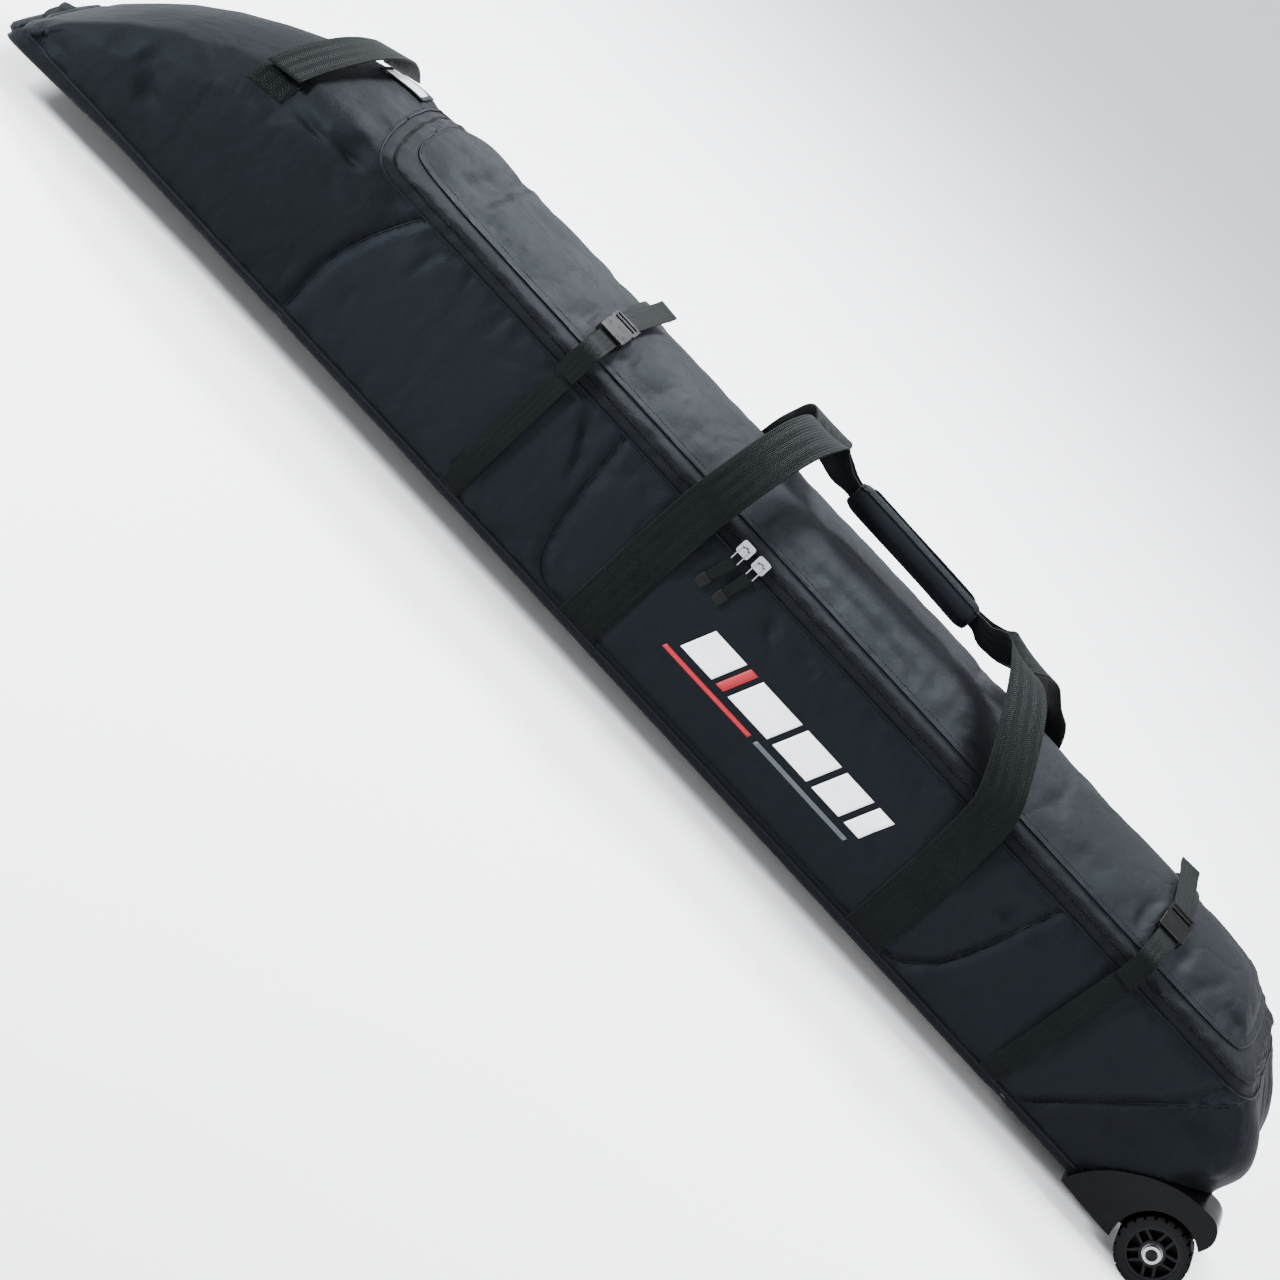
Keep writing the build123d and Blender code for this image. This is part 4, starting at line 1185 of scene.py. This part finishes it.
def loop_rows(sign):
    """Centre line of a carry loop: up both legs, over the lid and twisted into the grip."""
    f = ((1, 0, 0), LEG_WIDTH, 1.6)
    grip0, grip1 = G0 - LEFT, G1 - RIGHT
    low = 0 if sign < 0 else 9      # the back loop lies under the front one
    left = [(0, -156.0, 112, f), (0, -156.4, 124, f), (1, -160.2, 138, f), (2, -160.3, 190, f),
            (4, -158.0, 216, f), (7, -142, 243, f), (12, -112, 277 - low, f), (18, -82, 301 - low, f),
            (25, -54, 313 - low, f), (32, -32, 315 - low, ((1, 0, 0.04), 48, 1.6)),
            (41, -17, 309 - low, ((0.97, -0.04, 0.2), 42, 1.9)),
            (51, -10, 299 - low / 2, ((0.86, -0.08, 0.45), 34, 2.3)),
            (grip0 - 25, -8, 291, ((0.6, -0.05, 0.8), 26, 2.8)),
            (grip0 - 9, -6, GRIP_Z + 2, ((0.1, 0, 1), 18, 3.2)),
            (grip0 + 12, -6, GRIP_Z, ((0, 0, 1), 16, 3.2))]
    right = [(0, -156.0, 112, f), (0, -156.4, 124, f), (-1, -160.2, 138, f), (-4, -160.3, 190, f),
             (-9, -158.0, 216, f), (-23, -142, 241, f), (-44, -112, 270 - low, f), (-62, -82, 290 - low, f),
             (-78, -54, 301 - low, ((1, 0, -0.08), LEG_WIDTH, 1.6)),
             (-92, -32, 303 - low, ((1, 0, -0.14), 48, 1.6)),
             (-106, -17, 298 - low, ((0.97, 0.04, -0.25), 42, 1.9)),
             (-118, -10, 291 - low / 2, ((0.86, 0.08, -0.48), 34, 2.3)),
             (grip1 + 23, -8, 286, ((0.6, 0.05, -0.8), 26, 2.8)),
             (grip1 + 9, -6, GRIP_Z + 1, ((0.1, 0, -1), 18, 3.2)),
             (grip1 - 12, -6, GRIP_Z, ((0, 0, -1), 16, 3.2))]
    out = []
    for start, half in ((LEFT, left), (RIGHT, right)):
        out.append([(start + x, -sign * y, z, a[0], -sign * a[1], a[2], w, t) for x, y, z, (a, w, t) in half])
    return out


for sign, side in ((-1, "front"), (1, "back")):
    for rows, end in zip(loop_rows(sign), ("nose", "tail")):
        loop = ribbon(f"carry_loop_{side}_{end}", rows, "handle", step=4.0)
        finish_piece(loop, f"{side}_handle", "webbing", f"carry_loop_{side}")

# compression straps
for name, foot_x in (("nose", -220.0), ("tail", 586.0)):
    low, high = box_mm(f"strap_lower_{name}")
    top_x = middle(f"socket_{name}")[0]
    lean = (top_x - foot_x) / (ZIP_MID - low[2])
    place = side_place(-1, lean, low[2])
    across = (foot_x - STRAP_WIDTH / 2, foot_x + STRAP_WIDTH / 2)
    foot = patch(f"strap_foot_{name}", "webbing", place, across, (low[2] - 2, 34), 0.4, 1.5)
    finish_piece(foot, "base", "webbing")
    base_stitches += box_stitch(place, foot_x - 10, foot_x + 10, low[2] + 2, 30, 2.0, False)
    free_y = low[1] + 0.8
    rows = [(foot_x + lean * (z - low[2]), y, z)
            for y, z in ((side_y(foot_x, 30) - 1.3, 30), (-156.6, 48), (free_y + 0.6, 72), (free_y, 100),
                         (free_y, 150), (free_y, high[2]))]
    strap = ribbon(f"strap_lower_{name}_web", rows, "webbing")
    finish_piece(strap, "base", "webbing", f"strap_lower_{name}")

    low, high = box_mm(f"strap_end_{name}")
    socket_low, socket_high = box_mm(f"socket_{name}")
    entry = np.array([top_x, socket_low[1] + 3.0, socket_low[2] + 4.4])
    rows = [(top_x - 0.3, free_y, low[2]), (top_x, free_y, 200), (top_x, free_y + 0.2, 210),
            (top_x, free_y + 2.2, 218.5), (top_x, free_y + 8, 225), (top_x, free_y + 16, 229),
            (top_x, entry[1] - 24, entry[2] - 6.2), (top_x, entry[1] - 8, entry[2] - 1.2), tuple(entry)]
    end = ribbon(f"strap_end_{name}_web", rows, "webbing", step=3.0)
    finish_piece(end, f"strap_end_{name}", "webbing", f"strap_end_{name}")

    plug_low, plug_high = box_mm(f"plug_{name}")
    drift = 14 if name == "nose" else -18
    y0, z0 = plug_high[1] - 7.0, plug_high[2] - 3.2
    rows = [(top_x, y0 - 4, z0 - 1.2), (top_x, y0 + 2, z0 + 0.6)]
    for t, lift in ((0.14, 6.5), (0.3, 6.8), (0.5, 8.5), (0.7, 11), (0.86, 14), (1.0, 18.5)):
        y = y0 + t * 118
        rows.append((top_x + drift * t, y, roof(top_x, y) + lift))
    tail = ribbon(f"strap_tail_{name}_web", rows, "webbing", step=3.0)
    finish_piece(tail, f"plug_{name}", "webbing", f"strap_tail_{name}")
    end, before = np.array(rows[-1]), np.array(rows[-2])
    folded = [tuple(end * (1 - t) + before * t + (0, 0, -1.7)) for t in (0.0, 0.45, 0.9)]
    hem = ribbon(f"strap_hem_{name}", folded, "webbing", width=24.4, step=3.0)
    finish_piece(hem, f"plug_{name}", "webbing")

    rows = [(top_x, plug_high[1] - 9, plug_high[2] - 5.2), (top_x, -52, roof(top_x, -52) + 2.2)]
    rows += [(top_x, y, roof(top_x, y) + 1.6) for y in (-30, 0, 30, 60, 90, 118)]
    over = ribbon(f"strap_lid_{name}_web", rows, "webbing", step=6.0)
    finish_piece(over, "lid", "webbing", f"strap_lid_{name}")
    rows = [(top_x, 112, roof(top_x, 112) + 1.9), (top_x, 132, roof(top_x, 132) + 1.7), (top_x, 146, 217.6),
            (top_x, 153.4, 213.5), (top_x, 156.2, 205), (top_x, 156.4, 192), (top_x, 156.3, 176)]
    crossing = ribbon(f"strap_hinge_{name}", rows, "webbing", step=3.0)
    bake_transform(crossing)
    place = side_place(1, (top_x - foot_x) / 170.0, 17.5)
    back = patch(f"strap_back_{name}_web", "webbing", place, across, (15.5, 186), 0.4, 1.4)
    finish_piece(back, "base", "webbing", f"strap_back_{name}")
    for z in (20, 168):
        base_stitches += box_stitch(place, foot_x - 10, foot_x + 10, z, z + 16, 2.0, False)

chunk_piece("stitches_webbing", base_stitches, "thread", "base", "webbing")


# nose grab handle: two sewn ends and the free arch between them
def nose_row(x, y, lift):
    slope = (roof(x + 20, y) - roof(x - 20, y)) / 40
    return (x, y, roof(x, y) + lift, 1, 0, slope, HANDLE_WIDTH, 2.4)


handle_low, handle_high = box_mm("nose_handle")
H0, H1 = handle_low[0] + HANDLE_WIDTH / 2, handle_high[0] - HANDLE_WIDTH / 2
rows = [nose_row(H0 + d, y, lift) for d, y, lift in (
    (0, -134, 3.4), (2, -122, 6.0), (7, -102, 11), (15, -74, 17), (23, -42, 21.5), (31, -12, 23.5),
    (37, 12, 23.6), (41, 44, 21.5), (43, 72, 17.5), (46, 100, 11.5), (48, 122, 6.0), (49, 134, 3.4))]
arch = ribbon("nose_handle_web", rows, "handle", step=4.0)
finish_piece(arch, "nose_handle", "webbing", "nose_handle")
for side, x, ends in (("front", H0, (-142, -126)), ("back", H1, (126, 142))):
    across = (x - HANDLE_WIDTH / 2, x + HANDLE_WIDTH / 2)
    tab = patch(f"nose_handle_tab_{side}", "handle", top_place, across, ends, 0.3, 1.5)
    finish_piece(tab, "base", "webbing", "nose_handle_tabs")

# blank card in a clear sleeve, bound round the edge
card_low, card_high = box_mm("card_insert")
sleeve_low, sleeve_high = box_mm("card_sleeve")
card = patch("card_blank", "card", top_place, (card_low[0], card_high[0]), (card_low[1], card_high[1]),
             0.5, 0.5)
finish_piece(card, "base", "card_white", "card_insert")
sleeve = patch("card_sleeve_clear", "clear", top_place, (sleeve_low[0] + 2, sleeve_high[0] - 2),
               (sleeve_low[1] + 2, sleeve_high[1] - 2), 1.3, 0.4)
finish_piece(sleeve, "base", "card_clear", "card_sleeve")
(sx0, sy0), (sx1, sy1) = sleeve_low[:2], sleeve_high[:2]
for i, (u, v) in enumerate((((sx0, sx1), (sy0, sy0 + 5)), ((sx0, sx1), (sy1 - 5, sy1)),
                            ((sx0, sx0 + 5), (sy0, sy1)), ((sx1 - 5, sx1), (sy0, sy1)))):
    binding = patch(f"card_binding_{i}", "piping", top_place, u, v, 1.6 + 0.05 * i, 0.9)
    finish_piece(binding, "base", "piping")

# ---------------------------------------------------------------- padded wrap grip
GRIP_Y, GRIP_R = 17.0, 15.0


def grip_shape(name, angles, extra, x0, x1, mat, body, slot, *nodes, thick=3.0):
    """A length of padded tube round the webbing, over a range of angles, softly rounded at its ends."""
    xs = np.linspace(x0, x1, 46)
    verts = []
    for x in xs:
        t = (x - G0) / (G1 - G0)
        end = min(x - x0, x1 - x) / 9.0
        plump = 1.0 - 0.22 * (1 - min(1, end)) ** 2 + 0.015 * math.sin(7 * t + extra)
        sag = -2.2 * t * t
        for a in angles:
            ry, rz = (GRIP_Y + extra) * plump, (GRIP_R + extra) * plump
            flat = 1 + 0.04 * math.cos(4 * a)
            verts.append((x, ry * math.cos(a) * flat, GRIP_Z + sag + rz * math.sin(a) * flat))
    n = len(angles)
    verts, faces = np.array(verts), grid_faces(n, len(xs))
    probe = n // 2 + 20 * n
    outward = (verts[probe] - (0, 0, GRIP_Z)) * (0, 1, 1)
    if vertex_normals(verts, faces)[probe] @ outward < 0:
        faces = [f[::-1] for f in faces]
    obj = new_object(name, verts, faces, [M[mat], M["lining"]])
    with_lining(obj, thick)
    finish_piece(obj, body, slot, *nodes)
    return verts.reshape(len(xs), n, 3)


deg = math.radians
pad = grip_shape("grip_pad_sleeve", np.linspace(deg(48), deg(312), 34), 0.0, G0, G1, "grip", "front_handle",
                 "grip_fabric", "grip_pad")
flap_low, flap_high = box_mm("grip_flap")
flap = grip_shape("grip_flap_sleeve", np.linspace(deg(88), deg(-52), 20), 2.2, flap_low[0], flap_high[0],
                  "grip", "grip_flap", "grip_fabric", "grip_flap", thick=1.8)


def cord(name, lines, radius, body):
    chunks = [tube_data(resample(line, 4.0, 2), radius, 8) for line in lines]
    chunk_piece(name, chunks, "piping", body, "piping")


pad_seams = [pad[:, 10] * (1, 1.02, 1) + (0, 0, 0.5), pad[:, 25] + (0, 0, -0.5), pad[0, 1:-1], pad[-1, 1:-1]]
cord("grip_pad_piping", pad_seams, 1.3, "front_handle")
cord("grip_flap_piping", [np.vstack([flap[1:-1, -1], flap[-1, ::-1]]), flap[0]], 1.1, "grip_flap")


# ---------------------------------------------------------------- zip pulls, buckles, wheels: CAD nodes
SHARP_ANGLE = math.radians(38)


def shading_by_angle():
    """Node group that shades round faces smooth and keeps flat ones flat, without touching the CAD mesh."""
    group = bpy.data.node_groups.new("shading_by_angle", "GeometryNodeTree")
    for way in ("INPUT", "OUTPUT"):
        group.interface.new_socket("Geometry", in_out=way, socket_type="NodeSocketGeometry")
    start, end = group.nodes.new("NodeGroupInput"), group.nodes.new("NodeGroupOutput")
    angle = group.nodes.new("GeometryNodeInputMeshEdgeAngle")
    gentle = add(group, "FunctionNodeCompare", {0: angle.outputs[0], 1: SHARP_ANGLE},
                 data_type="FLOAT", operation="LESS_EQUAL")
    faces = add(group, "GeometryNodeSetShadeSmooth", {"Geometry": start.outputs[0], "Shade Smooth": True},
                domain="FACE")
    edges = add(group, "GeometryNodeSetShadeSmooth",
                {"Geometry": faces.outputs[0], "Shade Smooth": gentle.outputs[0]}, domain="EDGE")
    group.links.new(edges.outputs[0], end.inputs[0])
    return group


SHADING = shading_by_angle()


def dress(node, mat, width=0.0, segments=3, angle=35):
    """Finish a CAD node with a material and modifiers only."""
    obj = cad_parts[node]
    for slot in obj.material_slots:
        slot.material = M[mat]
    obj.modifiers.new("Shading", "NODES").node_group = SHADING
    if width:
        bevel = obj.modifiers.new("Softened", "BEVEL")
        bevel.width, bevel.segments = width * MM, segments
        bevel.limit_method, bevel.angle_limit = "ANGLE", math.radians(angle)
        bevel.harden_normals = False


for side in ("nose", "tail"):
    dress(f"slider_{side}", "nickel", 0.35)
    dress(f"pull_ring_{side}", "nickel")
    dress(f"socket_{side}", "buckle", 0.5)
    dress(f"plug_{side}", "buckle", 0.5)
for side in ("front", "back"):
    dress(f"wheel_tyre_{side}", "tyre", 0.5)
    dress(f"wheel_hub_{side}", "hub", 0.5)
    dress(f"wheel_bearings_{side}", "steel", 0.2)
    dress(f"wheel_housing_{side}", "housing", 2.6, 4, 50)
    dress(f"axle_bolt_{side}", "chrome", 0.5)
    dress(f"axle_nut_{side}", "steel", 0.3)
dress("housing_screws", "steel", 0.3)


def axle_cap(side, sign):
    """The ringed plastic cap over the head of the axle bolt."""
    low, high = box_mm(f"axle_bolt_{side}")
    x, z = (low[0] + high[0]) / 2, (low[2] + high[2]) / 2
    face = low[1] if sign < 0 else high[1]
    rings, around = ((6.6, -0.2), (6.4, 0.5), (4.4, 0.9), (3.4, 0.2), (0.6, 0.1)), 24
    verts, faces = [], ring_faces(len(rings), around)
    for radius, depth in rings:
        for k in range(around):
            a = 2 * math.pi * k / around
            verts.append((x + radius * math.cos(a), face + sign * depth, z + radius * math.sin(a)))
    faces.append(tuple(range(around * (len(rings) - 1), around * len(rings))))
    faces.append(tuple(range(around))[::-1])
    if sign > 0:
        faces = [f[::-1] for f in faces]
    finish_piece(new_object(f"axle_cap_{side}", verts, faces, [M["hub"]]), "base", "hub_plastic")


axle_cap("front", -1)
axle_cap("back", 1)
dress("base_board", "board", 0.6)

# tags: webbing through the ring, narrowing to a moulded end
for side in ("nose", "tail"):
    low, high = box_mm(f"pull_tag_{side}")
    x, y = (low[0] + high[0]) / 2, (low[1] + high[1]) / 2
    lean = -9.0 if side == "nose" else -6.0
    rows = [(x, y + 0.2, high[2] - 1.0, 1, 0, 0, 11.5, 2.0),
            (x + lean * 0.05, y - 0.2, high[2] - 5, 1, 0, 0, 13.5, 2.6),
            (x + lean * 0.3, y - 0.1, high[2] - 16, 1, 0, 0, 12.5, 2.4),
            (x + lean * 0.7, y, low[2] + 15, 1, 0, 0, 11, 2.2),
            (x + lean * 0.8, y, low[2] + 12, 1, 0, 0, 10.6, 2.0)]
    tag = ribbon(f"pull_tag_{side}_web", rows, "webbing", step=2.0)
    finish_piece(tag, f"pull_{side}", "pull_tag", f"pull_tag_{side}")
    rows = [(x + lean * 0.72, y, low[2] + 14.5, 1, 0, 0, 12.4, 2.8),
            (x + lean * 0.82, y, low[2] + 10, 1, 0, 0, 13.2, 3.4),
            (x + lean * 0.92, y, low[2] + 5, 1, 0, 0, 12.6, 3.4),
            (x + lean, y, low[2] + 0.5, 1, 0, 0, 10.5, 2.8)]
    finish_piece(ribbon(f"pull_end_{side}", rows, "tag", step=1.5), f"pull_{side}", "pull_tag")

# ---------------------------------------------------------------- lining pieces seen with the lid open
for x in (-300.0, 300.0):
    low, high = box_mm("inner_tie_straps")
    rows = [(x, y, high[2] - 0.8 + 0.8 * math.sin(y / 30.0)) for y in np.linspace(low[1] + 3, high[1] - 3, 9)]
    tie = ribbon(f"inner_tie_{'nose' if x < 0 else 'tail'}", rows, "webbing", step=8.0)
    finish_piece(tie, "base", "webbing", "inner_tie_straps")
tape_low, tape_high = box_mm("lid_hinge_tape")
xs = np.arange(tape_low[0], tape_high[0] + 1, 8.0)
zs = np.linspace(tape_low[2] - 4, tape_high[2] + 5, 12)
hinge_y = np.array([[min(HALF, side_y(x, z, 1)) for x in xs] for z in zs])
for _ in range(6):      # the fold doesn't follow every small crease of the shell
    hinge_y[:, 1:-1] = (hinge_y[:, :-2] + 2 * hinge_y[:, 1:-1] + hinge_y[:, 2:]) / 4
hinge_verts = [(x, hinge_y[j, i] - 3.0, z) for j, z in enumerate(zs) for i, x in enumerate(xs)]
hinge_faces = [(a, d, c, b) for a, b, c, d in grid_faces(len(xs), len(zs))]
hinge = with_lining(new_object("hinge_fabric", hinge_verts, hinge_faces, [M["shell"], M["lining"]]), 1.6)
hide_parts("lid_hinge_tape")
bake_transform(hinge)


# ---------------------------------------------------------------- printed mark: slanted bars, no lettering
def printed(name, mat, outline):
    """Flat print laid on the front of the centre panel: a four-cornered shape in x and z."""
    (a, b, c, d) = [np.array(p, float) for p in outline]
    nu = max(3, int(np.linalg.norm(b - a) / 3))
    nv = max(3, int(np.linalg.norm(d - a) / 3))
    verts = []
    for v in np.linspace(0, 1, nv):
        for u in np.linspace(0, 1, nu):
            x, z = (a * (1 - u) + b * u) * (1 - v) + (d * (1 - u) + c * u) * v
            p = np.array([x, side_y(x, z), z])
            verts.append(p + skin_normal(p) * 0.45)
    obj = new_object(name, verts, grid_faces(nu, nv), [M[mat]])
    solid = obj.modifiers.new("Ink", "SOLIDIFY")
    solid.thickness, solid.offset = 0.3 * MM, -1.0
    finish_piece(obj, "base", f"print_{mat}")


BAR_Z, LINE_Z, SLANT = (84, 122), (70, 75), 0.35


def slanted(x0, x1, z0, z1):
    low, high = SLANT * (z0 - BAR_Z[0]), SLANT * (z1 - BAR_Z[0])
    return [(x0 + low, z0), (x1 + low, z0), (x1 + high, z1), (x0 + high, z1)]


for i, (x0, x1) in enumerate(((58, 104), (128, 186), (194, 244), (252, 292), (300, 322))):
    printed(f"print_bar_{i}", "white", slanted(x0, x1, *BAR_Z))
printed("print_bar_red", "red", slanted(110, 121, *BAR_Z))
printed("print_line_red", "red", slanted(50, 176, *LINE_Z))
printed("print_line_grey", "grey", slanted(184, 318, *LINE_Z))

# ---------------------------------------------------------------- floor, light and camera
view_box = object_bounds()


def stage_material():
    mat, tree, bsdf = nodes_of("studio_floor")
    speck = noise(tree, coords(tree), 3.0, 4.0)
    colour = mix_colour(tree, speck, (0.90, 0.90, 0.90, 1), (0.93, 0.93, 0.93, 1))
    feed(tree, bsdf, {"Base Color": colour, "Roughness": 0.9})
    return mat


floor_z = view_box[0][2] / MM
far = 9000.0
WHEEL_X = middle("wheel_tyre_front")[0]
tilt = (floor_z + NOSE_DROOP) / (NOSE_X - WHEEL_X)
floor_corners = [(x, y, floor_z + tilt * (x - WHEEL_X))
                 for x, y in ((-far, -far), (far, -far), (far, far), (-far, far))]
floor = new_object("floor", floor_corners, [(0, 1, 2, 3)], [stage_material()])


def area_light(name, place, target, size, power, colour=(1, 1, 1)):
    light = bpy.data.lights.new(name, "AREA")
    light.shape, light.size, light.energy, light.color = "DISK", size, power, colour
    obj = bpy.data.objects.new(name, light)
    obj.location = place
    obj.rotation_euler = (Vector(target) - Vector(place)).to_track_quat("-Z", "Y").to_euler()
    bpy.context.scene.collection.objects.link(obj)


area_light("key", (-0.8, 1.9, 2.6), (0.1, 0.0, 0.2), 0.9, 270, (0.90, 0.94, 1.0))
area_light("top", (0.9, 0.2, 2.8), (0.2, 0.0, 0.2), 1.2, 170, (0.94, 0.97, 1.0))
area_light("front", (-2.5, -1.5, 1.1), (0.2, -0.1, 0.1), 0.6, 300, (0.95, 0.97, 1.0))
area_light("low", (2.4, -2.0, 0.5), (0.8, -0.15, 0.05), 0.6, 60)

world = bpy.data.worlds.new("studio")
bpy.context.scene.world = world
world.use_nodes = True
world.node_tree.nodes["Background"].inputs["Color"].default_value = (0.93, 0.95, 1.0, 1)
world.node_tree.nodes["Background"].inputs["Strength"].default_value = 1.35

ELEVATION, ROLL, DISTANCE = math.radians(17.5), math.radians(47.25), 4.5
METRES_PER_PIXEL, IMAGE_WIDTH, SENSOR = 0.001008, 1280, 36.0
target = Vector((0.026, -HALF * MM, 0.057))
look = Vector((0, math.cos(ELEVATION), -math.sin(ELEVATION)))
camera = bpy.data.objects.new("camera", bpy.data.cameras.new("camera"))
bpy.context.scene.collection.objects.link(camera)
camera.data.sensor_width = SENSOR
camera.data.lens = SENSOR * (DISTANCE / METRES_PER_PIXEL) / IMAGE_WIDTH
camera.location = target - look * DISTANCE
level = look.to_track_quat("-Z", "Y").to_matrix().to_4x4()
spin = Matrix.Rotation(ROLL, 4, "Z")
camera.matrix_world = Matrix.Translation(camera.location) @ level @ spin
bpy.context.scene.camera = camera
